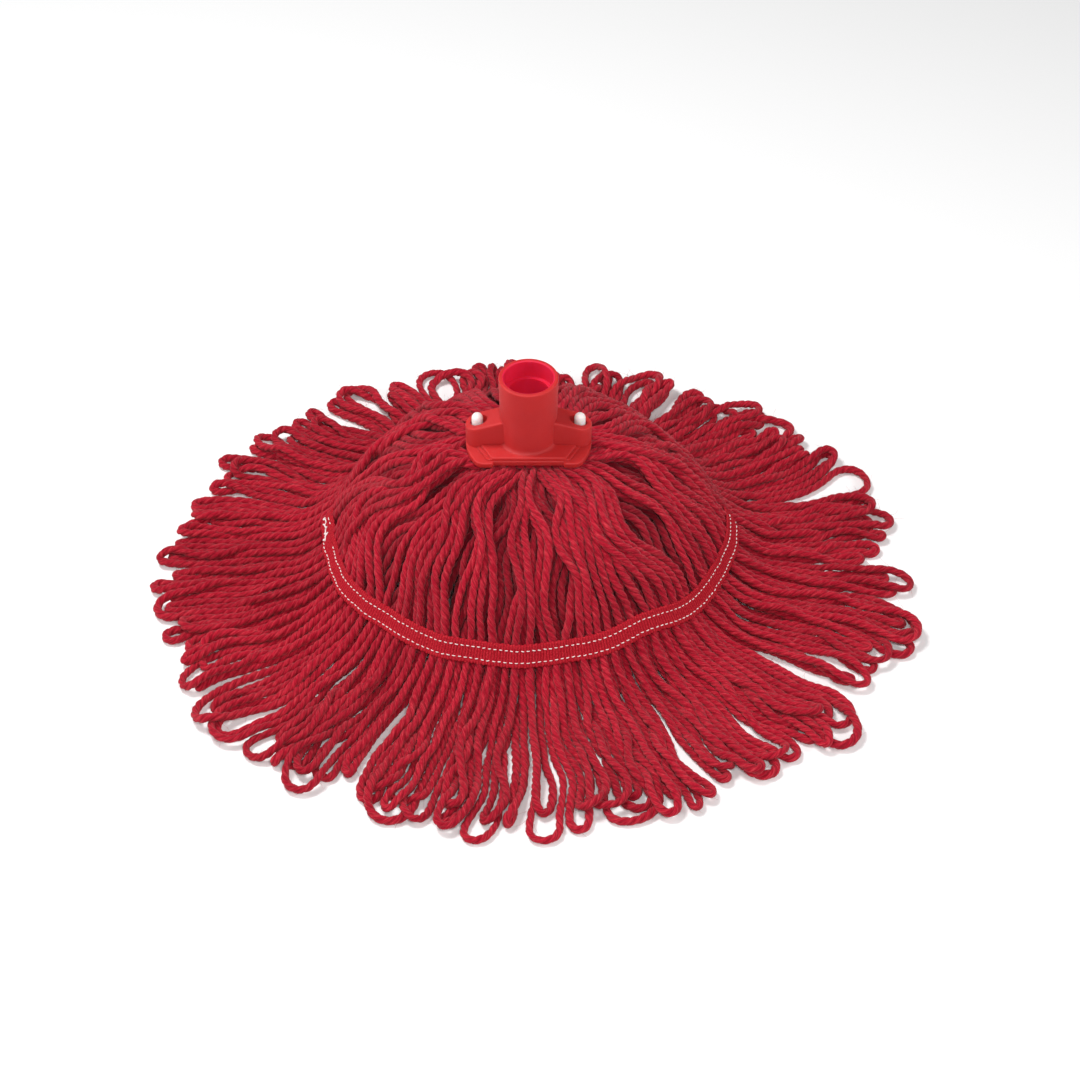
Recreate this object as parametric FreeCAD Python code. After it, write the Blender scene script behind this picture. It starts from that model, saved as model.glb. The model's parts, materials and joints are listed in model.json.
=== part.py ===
"""String mop head with looped ends: a threaded handle socket snapped over a folded yarn hank.

Millimetres, +Z up along the handle, X along the socket's wings, origin on the floor under the
handle. The yarn leaves the clamp under the socket, falls as a dome of twelve hanks, passes
between two sewn tapes and lies on the floor as twelve fringe hanks that swing at the tape seam.
"""
import FreeCAD, Part
import math
import os
from FreeCAD import Vector

os.makedirs("parts", exist_ok=True)

# ---- Driving sizes, in millimetres and degrees ---------------------------------------------

# handle socket
flange_bottom_z = 92.5          # underside of the flange above the floor
socket_height = 47.5            # flange underside to rim
mouth_r = 13.75                 # plain seat for the handle's shoulder
mouth_depth = 10.5
rim_wall = 2.75                 # tube wall at the mouth
rim_round = 0.9
rim_lead = 0.55                 # bevel inside the rim
thread_root_step = 1.0          # mouth radius to thread root radius
thread_depth = 1.25
thread_pitch = 4.5
thread_groove_root = 1.5        # width of the groove at its root
thread_groove_crest = 3.0       # width of the groove at the crest
groove_start = 0.7              # in pitches above the bore's floor
groove_run_out = 0.6            # in pitches past the mouth's floor
groove_inset = 0.4              # groove's section starts this far inside the crest
bore_floor = 4.0                # plastic under the threaded bore
base_wall = 2.85                # tube wall outside the thread's root, at the foot
base_flare = 2.0                # concave blend at the tube's foot

# flange: a disc with flat front and back, its corners left as lobes beside a shallow recess
flange_half_width = 21.0        # along Y, to the lobes
flange_thickness = 3.0
flange_corner_r = 6.0
flange_round = 0.8
front_recess = 1.8
recess_half_length = 19.5
recess_round = 0.85
panel_front_length = 41.0
panel_edge_gap = 0.5            # recess to the panel's front edge
panel_side_inset = 8.0          # flange's end to the panel's side corners
panel_wing_overlap = 1.5        # side corners lie this far inside the wing's width
panel_height = 2.1
panel_corner_r = 2.0
panel_round = 0.8
step_width = 2.2                # lower step round the panel
step_height = 0.9
step_round = 0.4

# wings and lugs
wing_tube_drop = 27.1           # rim to the wing's top beside the tube
lug_end_drop = 33.2             # rim to the end of the sloping top
wing_round = 1.0
lug_wall = 2.7                  # past the outer end of the peg hole
lug_side_wall = 3.5             # beside the peg hole

# yarn clamp and its snap pegs
peg_spacing = 56.8
peg_shank_r = 2.5
peg_head_r = 3.15
peg_rise = 7.2                  # lug end's top to the peg's tip
peg_nose_length = 3.6
peg_nose_fullness = 0.72
peg_tip_flat = 0.2
peg_seat_depth = 2.0            # lug end's top down to the shelf under the head
peg_seat_gap = 0.1
peg_side_gap = 0.85             # head to the hole's long sides
peg_outer_gap = 0.75            # head to the hole's outer end
peg_shank_gap = 0.3             # shank to the narrow part's outer end
peg_snap_room = 2.35            # head to the hole's inner end
clamp_end = 4.6                 # past each peg's axis
clamp_width = 17.0
clamp_thickness = 5.0

# yarn
yarn_clearance = 0.3            # soft solids to their neighbours
core_inset = 1.0                # pressed yarn inside the flange's end
core_thickness = 14.0
centre_tape_end_gap = 3.6       # peg's hole in the yarn to the tape's end
centre_tape_width = 28.0
tape_thickness = 0.9

# dome: shell of hanks between the core and the hem; radii as insets from the hem, heights as
# drops below the flange
hank_count = 12
hem_distance = 122.0            # flat hem of each hank from the handle axis
bulge_inset = 50.0
bulge_drop = 13.0
shoulder_inset = 25.0
shoulder_drop = 39.5
dome_foot_z = 13.0              # outer surface at the hem's corner
inner_bulge_inset = 62.0
inner_bulge_drop = 23.5
inner_shoulder_inset = 40.0
inner_shoulder_drop = 51.5
inner_foot_inset = 18.0
hem_overshoot = 0.5             # the spun section reaches this far past the hem's corner

# sewn tapes
tape_width = 13.0
tape_inset = 10.0               # hem to the middle of the top tape
front_tape_half_angle = 96.0
rear_tape_half_angle = 58.0
under_tape_rise = 22.0          # foot of the inner slope to the middle of the under tape
stitch_row_spacing = 6.7
stitch_width = 0.9
stitch_height = 0.6
stitch_gap = 0.15
stitch_end_margin = 1.5         # degrees
tail_loop_r = 5.0
tail_turn = 4.5                 # degrees from the front tape's end

# fringe
fringe_reach_x = 222.0
fringe_reach_y = 208.0
fringe_seam_thickness = 12.0
fringe_end_thickness = 8.0
fringe_swing = 30.0             # each way about the seam
fringe_scallops = 3             # bunches of loops at the end of each hank
fringe_scallop_depth = 6.0
fringe_side_room = 0.4          # left between hanks at the ends of their swing
hinge_gap = 0.5

over = 1.0                      # how far a cutting solid reaches past what it cuts

# ---- Values worked out from the sizes above ------------------------------------------------

rim_z = flange_bottom_z + socket_height
mouth_floor_z = rim_z - mouth_depth
thread_end_z = flange_bottom_z + bore_floor
thread_root_r = mouth_r - thread_root_step
thread_crest_r = thread_root_r - thread_depth
tube_rim_r = mouth_r + rim_wall
tube_base_r = thread_root_r + base_wall
flange_top_z = flange_bottom_z + flange_thickness
panel_top_z = flange_top_z + panel_height
wing_tube_z = rim_z - wing_tube_drop
lug_end_z = rim_z - lug_end_drop
peg_x = peg_spacing / 2
peg_ledge_z = lug_end_z - peg_seat_depth
peg_hole_width = 2 * (peg_head_r + peg_side_gap)
peg_hole_inner_x = peg_x - peg_head_r - peg_snap_room
peg_hole_outer_x = peg_x + peg_head_r + peg_outer_gap
peg_slot_outer_x = peg_x + peg_shank_r + peg_shank_gap
flange_r = peg_hole_outer_x + lug_wall
wing_width = peg_hole_width + 2 * lug_side_wall
clamp_length = peg_spacing + 2 * clamp_end
clamp_top_z = flange_bottom_z - core_thickness
core_r = flange_r - core_inset
core_top_z = flange_bottom_z - yarn_clearance
core_bottom_z = clamp_top_z + yarn_clearance
core_hole_r = peg_shank_r + yarn_clearance
centre_tape_length = 2 * (peg_x - core_hole_r - centre_tape_end_gap)
sector_angle = 360.0 / hank_count
half_sector = math.radians(sector_angle / 2)
shoulder_r = hem_distance - shoulder_inset
shoulder_z = flange_bottom_z - shoulder_drop
inner_shoulder_r = hem_distance - inner_shoulder_inset
inner_shoulder_z = flange_bottom_z - inner_shoulder_drop
inner_foot_r = hem_distance - inner_foot_inset
tape_r = hem_distance - tape_inset
knuckle_r = fringe_seam_thickness / 2
hinge_distance = hem_distance + hinge_gap + knuckle_r
tape_lift = yarn_clearance + tape_thickness
swing = math.radians(fringe_swing)
# the top and bottom of a lifted hank come inwards, where the wedge is narrower
fringe_side_gap = knuckle_r * math.sin(swing) * math.tan(half_sector) + fringe_side_room
dome_foot_r = (hem_distance + hem_overshoot) / math.cos(half_sector) + hem_overshoot


def save(name, shape):
    """Write one node and print its volume."""
    shape.exportStep("parts/" + name + ".step")
    print(name, round(shape.Volume, 1), "mm3", len(shape.Solids), "solid(s)")


def face_in_xz(points):
    """Closed polygon in the XZ plane from (x, z) points."""
    corners = [Vector(x, 0, z) for x, z in points]
    return Part.Face(Part.makePolygon(corners + corners[:1]))


def prism(outline_wire, bottom_z, top_z):
    """Vertical prism on a wire that lies at z = 0."""
    face = Part.Face(outline_wire)
    face.translate(Vector(0, 0, bottom_z))
    return face.extrude(Vector(0, 0, top_z - bottom_z))


def stadium(x_from, x_to, width, bottom_z, top_z):
    """Slot-shaped prism along X with round ends."""
    r = width / 2
    left = x_from + r
    right = x_to - r
    edges = [
        Part.LineSegment(Vector(left, -r, 0), Vector(right, -r, 0)).toShape(),
        Part.Arc(Vector(right, -r, 0), Vector(x_to, 0, 0), Vector(right, r, 0)).toShape(),
        Part.LineSegment(Vector(right, r, 0), Vector(left, r, 0)).toShape(),
        Part.Arc(Vector(left, r, 0), Vector(x_from, 0, 0), Vector(left, -r, 0)).toShape(),
    ]
    return prism(Part.Wire(edges), bottom_z, top_z)


def edges_at_height(shape, z):
    """Edges that lie wholly at one height."""
    return [e for e in shape.Edges
            if abs(e.BoundBox.ZMin - z) < 1e-4 and abs(e.BoundBox.ZMax - z) < 1e-4]


def spin(face, angle=360.0, start=0.0):
    """Turn a face in the XZ plane about Z, from a start angle."""
    turned = face.revolve(Vector(0, 0, 0), Vector(0, 0, 1), angle)
    turned.rotate(Vector(0, 0, 0), Vector(0, 0, 1), start)
    return turned


# ---- Handle socket -------------------------------------------------------------------------

def rounded_top(plate, corner_r, top_z, top_round):
    """Rounds a plate's upright edges, then its top edges."""
    uprights = [e for e in plate.Edges if e.BoundBox.XLength + e.BoundBox.YLength < 1e-4]
    plate = plate.makeFillet(corner_r, uprights)
    return plate.makeFillet(top_round, edges_at_height(plate, top_z))


def panel_plate(grow, top_z, top_round):
    """Six-cornered plate over the flange's middle, its slanted sides running under the wings."""
    front_x = panel_front_length / 2 + grow
    front_y = flange_half_width - front_recess - panel_edge_gap
    side_x = flange_r - panel_side_inset + grow
    side_y = wing_width / 2 - panel_wing_overlap
    corners = [Vector(front_x, -front_y, 0), Vector(side_x, -side_y, 0),
               Vector(side_x, side_y, 0), Vector(front_x, front_y, 0),
               Vector(-front_x, front_y, 0), Vector(-side_x, side_y, 0),
               Vector(-side_x, -side_y, 0), Vector(-front_x, -front_y, 0)]
    plate = prism(Part.makePolygon(corners + corners[:1]), flange_bottom_z, top_z)
    return rounded_top(plate, panel_corner_r, top_z, top_round)


def make_flange():
    """Disc cut flat at the front and back, recessed between its lobes, with a stepped panel."""
    disc = Part.makeCylinder(flange_r, flange_thickness, Vector(0, 0, flange_bottom_z))
    slab = Part.makeBox(4 * flange_r, 2 * flange_half_width, flange_thickness)
    slab.translate(Vector(-2 * flange_r, -flange_half_width, flange_bottom_z))
    disc = disc.common(slab)
    corners = [e for e in disc.Edges if e.BoundBox.XLength + e.BoundBox.YLength < 1e-4
               and abs(abs(e.BoundBox.YMin) - flange_half_width) < 1e-4]
    disc = disc.makeFillet(flange_corner_r, corners).Solids[0]
    for side in (-1, 1):
        room = Part.makeBox(2 * recess_half_length, 2 * front_recess, flange_thickness + 2 * over)
        room.translate(Vector(-recess_half_length, side * flange_half_width - front_recess,
                              flange_bottom_z - over))
        disc = disc.cut(room).Solids[0]
    corners = [e for e in disc.Edges if e.BoundBox.XLength + e.BoundBox.YLength < 1e-4
               and abs(abs(e.BoundBox.XMin) - recess_half_length) < 1e-4]
    disc = disc.makeFillet(recess_round, corners).Solids[0]
    disc = disc.makeFillet(flange_round, edges_at_height(disc, flange_top_z))
    step = panel_plate(step_width, flange_top_z + step_height, step_round)
    panel = panel_plate(0, panel_top_z, panel_round)
    return disc.fuse([step, panel])


def make_wings():
    """Both wings as one web whose top slopes from the tube down to the ends of the lugs."""
    web = stadium(-flange_r, flange_r, wing_width, flange_top_z - over, wing_tube_z)
    profile = face_in_xz([
        (-flange_r, flange_bottom_z), (flange_r, flange_bottom_z), (flange_r, lug_end_z),
        (tube_base_r, wing_tube_z), (-tube_base_r, wing_tube_z), (-flange_r, lug_end_z)])
    profile.translate(Vector(0, -wing_width, 0))
    web = web.common(profile.extrude(Vector(0, 2 * wing_width, 0)))
    lowest = lug_end_z - 0.01
    top_edges = [e for e in web.Edges
                 if e.BoundBox.ZMin > lowest and e.BoundBox.XLength > 1e-4]
    return web.makeFillet(wing_round, top_edges)


def make_tube():
    """Slightly tapered tube, solid for now, with a rounded rim and a concave foot."""
    foot_r = tube_base_r + base_flare
    diagonal = base_flare * (1 - math.sqrt(0.5))
    edges = [
        Part.LineSegment(Vector(0, 0, flange_bottom_z),
                         Vector(foot_r, 0, flange_bottom_z)).toShape(),
        Part.LineSegment(Vector(foot_r, 0, flange_bottom_z),
                         Vector(foot_r, 0, panel_top_z)).toShape(),
        Part.Arc(Vector(foot_r, 0, panel_top_z),
                 Vector(tube_base_r + diagonal, 0, panel_top_z + diagonal),
                 Vector(tube_base_r, 0, panel_top_z + base_flare)).toShape(),
        Part.LineSegment(Vector(tube_base_r, 0, panel_top_z + base_flare),
                         Vector(tube_rim_r, 0, rim_z)).toShape(),
        Part.LineSegment(Vector(tube_rim_r, 0, rim_z), Vector(0, 0, rim_z)).toShape(),
        Part.LineSegment(Vector(0, 0, rim_z), Vector(0, 0, flange_bottom_z)).toShape(),
    ]
    tube = spin(Part.Face(Part.Wire(edges)))
    return tube.makeFillet(rim_round, edges_at_height(tube, rim_z))


def make_bore():
    """Plain mouth over the threaded bore, with a lead-in at the rim."""
    profile = face_in_xz([
        (0, thread_end_z), (thread_crest_r, thread_end_z), (thread_crest_r, mouth_floor_z),
        (mouth_r, mouth_floor_z), (mouth_r, rim_z - rim_lead), (mouth_r + rim_lead, rim_z),
        (mouth_r + rim_lead, rim_z + over), (0, rim_z + over)])
    return spin(profile)


def make_thread_groove():
    """Helical groove that runs out into the mouth."""
    low = thread_end_z + thread_pitch * groove_start
    height = mouth_floor_z - low + thread_pitch * groove_run_out
    inner_r = thread_crest_r - groove_inset
    helix = Part.makeHelix(thread_pitch, height, thread_crest_r)
    helix.translate(Vector(0, 0, low))
    crest = thread_groove_crest / 2
    root = thread_groove_root / 2
    outline = [(inner_r, low - crest), (thread_root_r, low - root),
               (thread_root_r, low + root), (inner_r, low + crest)]
    corners = [Vector(x, 0, z) for x, z in outline]
    section = Part.makePolygon(corners + corners[:1])
    return Part.Wire(helix.Edges).makePipeShell([section], True, True)


def make_peg_holes():
    """Slots through the lugs, with a shelf near the top for the peg's head."""
    holes = []
    for side in (-1, 1):
        narrow = stadium(peg_hole_inner_x, peg_slot_outer_x, peg_hole_width,
                         flange_bottom_z - over, peg_ledge_z + over)
        pocket = stadium(peg_hole_inner_x, peg_hole_outer_x, peg_hole_width,
                         peg_ledge_z, wing_tube_z + over)
        hole = narrow.fuse(pocket)
        if side < 0:
            hole = hole.mirror(Vector(0, 0, 0), Vector(1, 0, 0))
        holes.append(hole)
    return holes


def make_socket():
    """Tube, wings and flange moulded as one, then bored, threaded and slotted."""
    socket = make_tube().fuse([make_wings(), make_flange()]).removeSplitter()
    socket = socket.cut(make_bore())
    socket = socket.cut(make_thread_groove())
    for hole in make_peg_holes():
        socket = socket.cut(hole)
    return socket.Solids[0]


# ---- Yarn clamp ----------------------------------------------------------------------------

def make_clamp():
    """Bar under the yarn with two bullet-nosed snap pegs."""
    bar = stadium(-clamp_length / 2, clamp_length / 2, clamp_width,
                  clamp_top_z - clamp_thickness, clamp_top_z)
    head_bottom = peg_ledge_z + peg_seat_gap
    tip_z = lug_end_z + peg_rise
    shoulder_z = tip_z - peg_nose_length
    nose_mid = Vector(peg_head_r * peg_nose_fullness, 0,
                      shoulder_z + peg_nose_length * peg_nose_fullness)
    root_z = clamp_top_z - over
    outline = [
        Part.LineSegment(Vector(0, 0, root_z), Vector(peg_shank_r, 0, root_z)).toShape(),
        Part.LineSegment(Vector(peg_shank_r, 0, root_z),
                         Vector(peg_shank_r, 0, head_bottom)).toShape(),
        Part.LineSegment(Vector(peg_shank_r, 0, head_bottom),
                         Vector(peg_head_r, 0, head_bottom)).toShape(),
        Part.LineSegment(Vector(peg_head_r, 0, head_bottom),
                         Vector(peg_head_r, 0, shoulder_z)).toShape(),
        Part.Arc(Vector(peg_head_r, 0, shoulder_z), nose_mid,
                 Vector(peg_tip_flat, 0, tip_z)).toShape(),
        Part.LineSegment(Vector(peg_tip_flat, 0, tip_z), Vector(0, 0, tip_z)).toShape(),
        Part.LineSegment(Vector(0, 0, tip_z), Vector(0, 0, root_z)).toShape(),
    ]
    peg = spin(Part.Face(Part.Wire(outline)))
    for side in (-1, 1):
        placed = peg.copy()
        placed.translate(Vector(side * peg_x, 0, 0))
        bar = bar.fuse(placed)
    return bar.removeSplitter().Solids[0]


# ---- Yarn core and centre tapes ------------------------------------------------------------

def make_core():
    """Pressed yarn between the clamp and the flange, between its two centre tapes."""
    inset = tape_thickness + yarn_clearance
    core = Part.makeCylinder(core_r, core_top_z - core_bottom_z, Vector(0, 0, core_bottom_z))
    for z in (core_bottom_z, core_top_z - inset):
        room = Part.makeBox(centre_tape_length + 2 * yarn_clearance,
                            centre_tape_width + 2 * yarn_clearance, inset)
        room.translate(Vector(-centre_tape_length / 2 - yarn_clearance,
                              -centre_tape_width / 2 - yarn_clearance, z))
        core = core.cut(room)
    for side in (-1, 1):
        core = core.cut(Part.makeCylinder(core_hole_r, core_thickness + 2 * over,
                                          Vector(side * peg_x, 0, core_bottom_z - over)))
    return core.Solids[0]


def make_centre_tape(bottom_z):
    """Strip sewn across the middle of the yarn."""
    tape = Part.makeBox(centre_tape_length, centre_tape_width, tape_thickness)
    tape.translate(Vector(-centre_tape_length / 2, -centre_tape_width / 2, bottom_z))
    return tape


# ---- Dome ----------------------------------------------------------------------------------

def dome_section():
    """Shell profile in the XZ plane: outer arc and slope, flat foot, inner slope and arc."""
    start_r = core_r + yarn_clearance
    a = Vector(start_r, 0, core_top_z)
    b = Vector(hem_distance - bulge_inset, 0, flange_bottom_z - bulge_drop)
    c = Vector(shoulder_r, 0, shoulder_z)
    d = Vector(dome_foot_r, 0, dome_foot_z)
    e = Vector(dome_foot_r, 0, 0)
    f = Vector(inner_foot_r, 0, 0)
    g = Vector(inner_shoulder_r, 0, inner_shoulder_z)
    h = Vector(hem_distance - inner_bulge_inset, 0, flange_bottom_z - inner_bulge_drop)
    i = Vector(start_r, 0, core_bottom_z)
    edges = [Part.Arc(a, b, c).toShape(), Part.LineSegment(c, d).toShape(),
             Part.LineSegment(d, e).toShape(), Part.LineSegment(e, f).toShape(),
             Part.LineSegment(f, g).toShape(), Part.Arc(g, h, i).toShape(),
             Part.LineSegment(i, a).toShape()]
    return Part.Face(Part.Wire(edges))


def wedge(distance, side_gap, top_z):
    """Triangular prism of one sector along +X, its outer face at a distance."""
    apex = side_gap / math.sin(half_sector)
    half = distance * math.tan(half_sector) - side_gap / math.cos(half_sector)
    corners = [Vector(apex, 0, 0), Vector(distance, -half, 0), Vector(distance, half, 0)]
    return prism(Part.makePolygon(corners + corners[:1]), 0, top_z)


def make_dome_hank(direction):
    """One sector of the dome with a flat hem, turned to its direction in degrees."""
    shell = spin(dome_section(), sector_angle + 2 * over, -sector_angle / 2 - over)
    hank = shell.common(wedge(hem_distance, yarn_clearance / 2, flange_bottom_z)).Solids[0]
    hank.rotate(Vector(0, 0, 0), Vector(0, 0, 1), direction)
    return hank


# ---- Sewn tapes and stitch rows ------------------------------------------------------------

outer_slope = Vector(dome_foot_r - shoulder_r, 0, dome_foot_z - shoulder_z).normalize()
outer_normal = Vector(-outer_slope.z, 0, outer_slope.x)
inner_slope = Vector(inner_shoulder_r - inner_foot_r, 0, inner_shoulder_z).normalize()
inner_normal = Vector(-inner_slope.z, 0, inner_slope.x)
tape_middle = (Vector(shoulder_r, 0, shoulder_z)
               + outer_slope * ((tape_r - shoulder_r) / outer_slope.x))
under_middle = Vector(inner_foot_r, 0, 0) + inner_slope * under_tape_rise


def strip_section(middle, along, normal, width, lift, thickness):
    """Rectangle standing on a slope: width along it, from lift to lift plus thickness."""
    corners = []
    for across, up in ((-0.5, 0), (0.5, 0), (0.5, 1), (-0.5, 1)):
        corners.append(middle + along * (across * width) + normal * (lift + up * thickness))
    return Part.Face(Part.makePolygon(corners + corners[:1]))


def make_band(section, half_angle, middle_angle):
    """Turn a strip's section about the handle axis, centred on one direction."""
    return spin(section, 2 * half_angle, middle_angle - half_angle)


def make_stitch_row(half_angle, middle_angle, side):
    """Thread along one edge of a tape, as one plain raised line."""
    middle = tape_middle + outer_slope * (side * stitch_row_spacing / 2)
    section = strip_section(middle, outer_slope, outer_normal, stitch_width,
                            tape_lift + stitch_gap, stitch_height)
    return make_band(section, half_angle - stitch_end_margin, middle_angle)


def make_thread_tails():
    """Loose loop of thread at the left end of the front tape."""
    loop = Part.makeTorus(tail_loop_r, stitch_width / 2)
    loop.rotate(Vector(0, 0, 0), Vector(0, 1, 0),
                math.degrees(math.atan2(outer_normal.x, outer_normal.z)))
    lift = tape_lift + stitch_height + yarn_clearance + stitch_width
    loop.translate(tape_middle + outer_normal * lift)
    loop.rotate(Vector(0, 0, 0), Vector(0, 0, 1), tail_turn - 90 - front_tape_half_angle)
    return loop


# ---- Fringe --------------------------------------------------------------------------------

def fringe_reach(angle):
    """Distance from the handle axis to the loops' ends, on an oval plan."""
    return 1 / math.hypot(math.cos(angle) / fringe_reach_x, math.sin(angle) / fringe_reach_y)


def fringe_plan(direction):
    """Plan of one hank along +X: sides that leave room to swing, scalloped outer end."""
    spread = math.tan(half_sector) * math.cos(swing)
    seam_half = hinge_distance * math.tan(half_sector) - fringe_side_gap

    def half_width(distance):
        return seam_half + (distance - hinge_distance) * spread

    def end_point(share, depth):
        angle = math.radians(direction) + share * half_sector
        reach = fringe_reach(angle) - depth
        side = share * half_width(reach * math.cos(half_sector))
        return Vector(math.sqrt(reach ** 2 - side ** 2), side, 0)

    inner = hem_distance
    points = [end_point(-1 + 2 * k / fringe_scallops, fringe_scallop_depth)
              for k in range(fringe_scallops + 1)]
    edges = [Part.LineSegment(Vector(inner, -half_width(inner), 0), points[0]).toShape()]
    for k in range(fringe_scallops):
        crown = end_point(-1 + (2 * k + 1) / fringe_scallops, 0)
        edges.append(Part.Arc(points[k], crown, points[k + 1]).toShape())
    edges.append(Part.LineSegment(points[-1], Vector(inner, half_width(inner), 0)).toShape())
    edges.append(Part.LineSegment(Vector(inner, half_width(inner), 0),
                                  Vector(inner, -half_width(inner), 0)).toShape())
    return Part.Wire(edges)


def make_fringe_hank(direction):
    """One fringe hank: round knuckle at the seam, thinner towards its looped ends."""
    far = max(fringe_reach_x, fringe_reach_y) + over
    top = Vector(hinge_distance, 0, fringe_seam_thickness)
    bottom = Vector(hinge_distance, 0, 0)
    edges = [
        Part.Arc(top, Vector(hinge_distance - knuckle_r, 0, knuckle_r), bottom).toShape(),
        Part.LineSegment(bottom, Vector(far, 0, 0)).toShape(),
        Part.LineSegment(Vector(far, 0, 0), Vector(far, 0, fringe_end_thickness)).toShape(),
        Part.LineSegment(Vector(far, 0, fringe_end_thickness), top).toShape(),
    ]
    side = Part.Face(Part.Wire(edges))
    side.translate(Vector(0, -far / 2, 0))
    slab = side.extrude(Vector(0, far, 0))
    hank = slab.common(prism(fringe_plan(direction), -over, fringe_seam_thickness + over)).Solids[0]
    hank.rotate(Vector(0, 0, 0), Vector(0, 0, 1), direction)
    return hank


# ---- Build ---------------------------------------------------------------------------------

save("handle_socket", make_socket())
save("yarn_clamp", make_clamp())
save("yarn_core", make_core())
save("centre_tape_top", make_centre_tape(core_top_z - tape_thickness))
save("centre_tape_under", make_centre_tape(core_bottom_z))

for number in range(hank_count):
    direction = sector_angle * (number + 0.5)
    label = "%02d" % (number + 1)
    save("dome_hank_" + label, make_dome_hank(direction))
    save("fringe_hank_" + label, make_fringe_hank(direction))

top_section = strip_section(tape_middle, outer_slope, outer_normal, tape_width,
                            yarn_clearance, tape_thickness)
under_section = strip_section(under_middle, inner_slope, inner_normal, tape_width,
                              yarn_clearance, tape_thickness)
for half, middle, half_angle in (("front", -90, front_tape_half_angle),
                                 ("rear", 90, rear_tape_half_angle)):
    save("tape_" + half + "_top", make_band(top_section, half_angle, middle))
    save("tape_" + half + "_under", make_band(under_section, half_angle, middle))
    save("stitches_" + half + "_inner", make_stitch_row(half_angle, middle, -1))
    save("stitches_" + half + "_outer", make_stitch_row(half_angle, middle, 1))
save("thread_tails", make_thread_tails())

print("hinge line", round(hinge_distance, 3), "mm out,", round(knuckle_r, 3), "mm up")
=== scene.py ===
# %% [markdown]
# # A looped string mop, finished in Blender
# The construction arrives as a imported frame: a threaded socket, a snap-in yarn clamp and plain
# wedges that stand for bundles of yarn. This script keeps the two mouldings, gives them their
# plastic, and replaces the wedges by the yarn itself: twisted strands that leave the clamp, fall
# as a dome, pass between two sewn tapes and spread on the floor in loops.

# %% Load the frame
import json
import math
import bpy
import numpy as np
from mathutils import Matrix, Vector

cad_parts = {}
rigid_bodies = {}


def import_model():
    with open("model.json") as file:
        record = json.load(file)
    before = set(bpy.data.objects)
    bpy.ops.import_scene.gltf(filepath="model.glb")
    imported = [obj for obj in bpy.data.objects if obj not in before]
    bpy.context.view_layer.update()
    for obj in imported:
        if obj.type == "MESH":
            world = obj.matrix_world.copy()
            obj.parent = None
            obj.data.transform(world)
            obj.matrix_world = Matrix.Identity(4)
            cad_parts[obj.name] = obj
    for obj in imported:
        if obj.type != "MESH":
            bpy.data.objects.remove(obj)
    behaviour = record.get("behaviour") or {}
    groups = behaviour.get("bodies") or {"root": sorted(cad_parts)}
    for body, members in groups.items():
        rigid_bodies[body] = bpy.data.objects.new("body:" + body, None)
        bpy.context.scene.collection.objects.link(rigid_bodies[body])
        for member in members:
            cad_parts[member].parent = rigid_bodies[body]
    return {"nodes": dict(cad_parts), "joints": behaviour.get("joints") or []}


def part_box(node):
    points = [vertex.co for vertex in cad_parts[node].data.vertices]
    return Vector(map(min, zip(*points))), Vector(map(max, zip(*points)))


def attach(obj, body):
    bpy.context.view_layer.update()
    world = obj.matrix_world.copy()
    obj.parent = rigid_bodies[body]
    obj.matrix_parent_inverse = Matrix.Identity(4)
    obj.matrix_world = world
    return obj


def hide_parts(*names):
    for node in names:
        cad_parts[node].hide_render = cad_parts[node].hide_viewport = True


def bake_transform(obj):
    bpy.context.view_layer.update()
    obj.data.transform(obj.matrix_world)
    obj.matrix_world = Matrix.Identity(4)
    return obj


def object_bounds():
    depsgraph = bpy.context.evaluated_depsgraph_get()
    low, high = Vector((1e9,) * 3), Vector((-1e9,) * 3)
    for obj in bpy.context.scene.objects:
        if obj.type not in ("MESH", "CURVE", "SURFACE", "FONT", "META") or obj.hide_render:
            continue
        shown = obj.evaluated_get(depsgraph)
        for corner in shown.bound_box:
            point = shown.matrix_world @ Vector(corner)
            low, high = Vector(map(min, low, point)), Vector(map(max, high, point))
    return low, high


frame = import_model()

cad_low, cad_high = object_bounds()
print("frame box", [round(v, 4) for v in (*cad_low, *cad_high)])

# %% [markdown]
# ## Sizes read from the frame
# The hinges tell where each fringe hank starts and which way it points. The socket's box gives
# the height of the flange that the yarn comes out from under, and the tape's box gives the ring
# on which the band is sewn. Everything below is worked out from these.

# %% Sizes from the frame
hinges = sorted(frame["joints"], key=lambda joint: joint["child"])
hank_names = [joint["child"][-2:] for joint in hinges]
hank_count = len(hinges)
hinge_places = np.array([joint["pos_m"] for joint in hinges])
hank_angles = np.arctan2(hinge_places[:, 1], hinge_places[:, 0])
hinge_distance = float(np.hypot(hinge_places[0, 0], hinge_places[0, 1]))
swing = math.radians(hinges[0]["range_deg"][1])
half_sector = math.pi / hank_count
root_body = hinges[0]["parent"]

socket_low, socket_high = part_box("handle_socket")
flange_z = socket_low.z
core_low, core_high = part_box("yarn_core")
tape_reach_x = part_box("tape_front_top")[1].x
reach_x = cad_high.x
print(hank_count, "hanks, hinges at", round(hinge_distance, 4), "from the axis, swing",
      round(math.degrees(swing)), "degrees, flange at", round(flange_z, 4))

# %% [markdown]
# ## Camera and light
# The mop stands on a pale floor and is looked at from above, about forty degrees down, through a
# long lens, so that the fringe in front is hardly larger than the fringe behind. Yarn shows its
# twist only when light grazes it, and a moulding looks soft only in broad light. So one soft lamp
# hangs a little behind the mop, one stands high in front, two weaker ones stand at the sides, and
# a dim white world keeps the shadows open.

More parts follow.
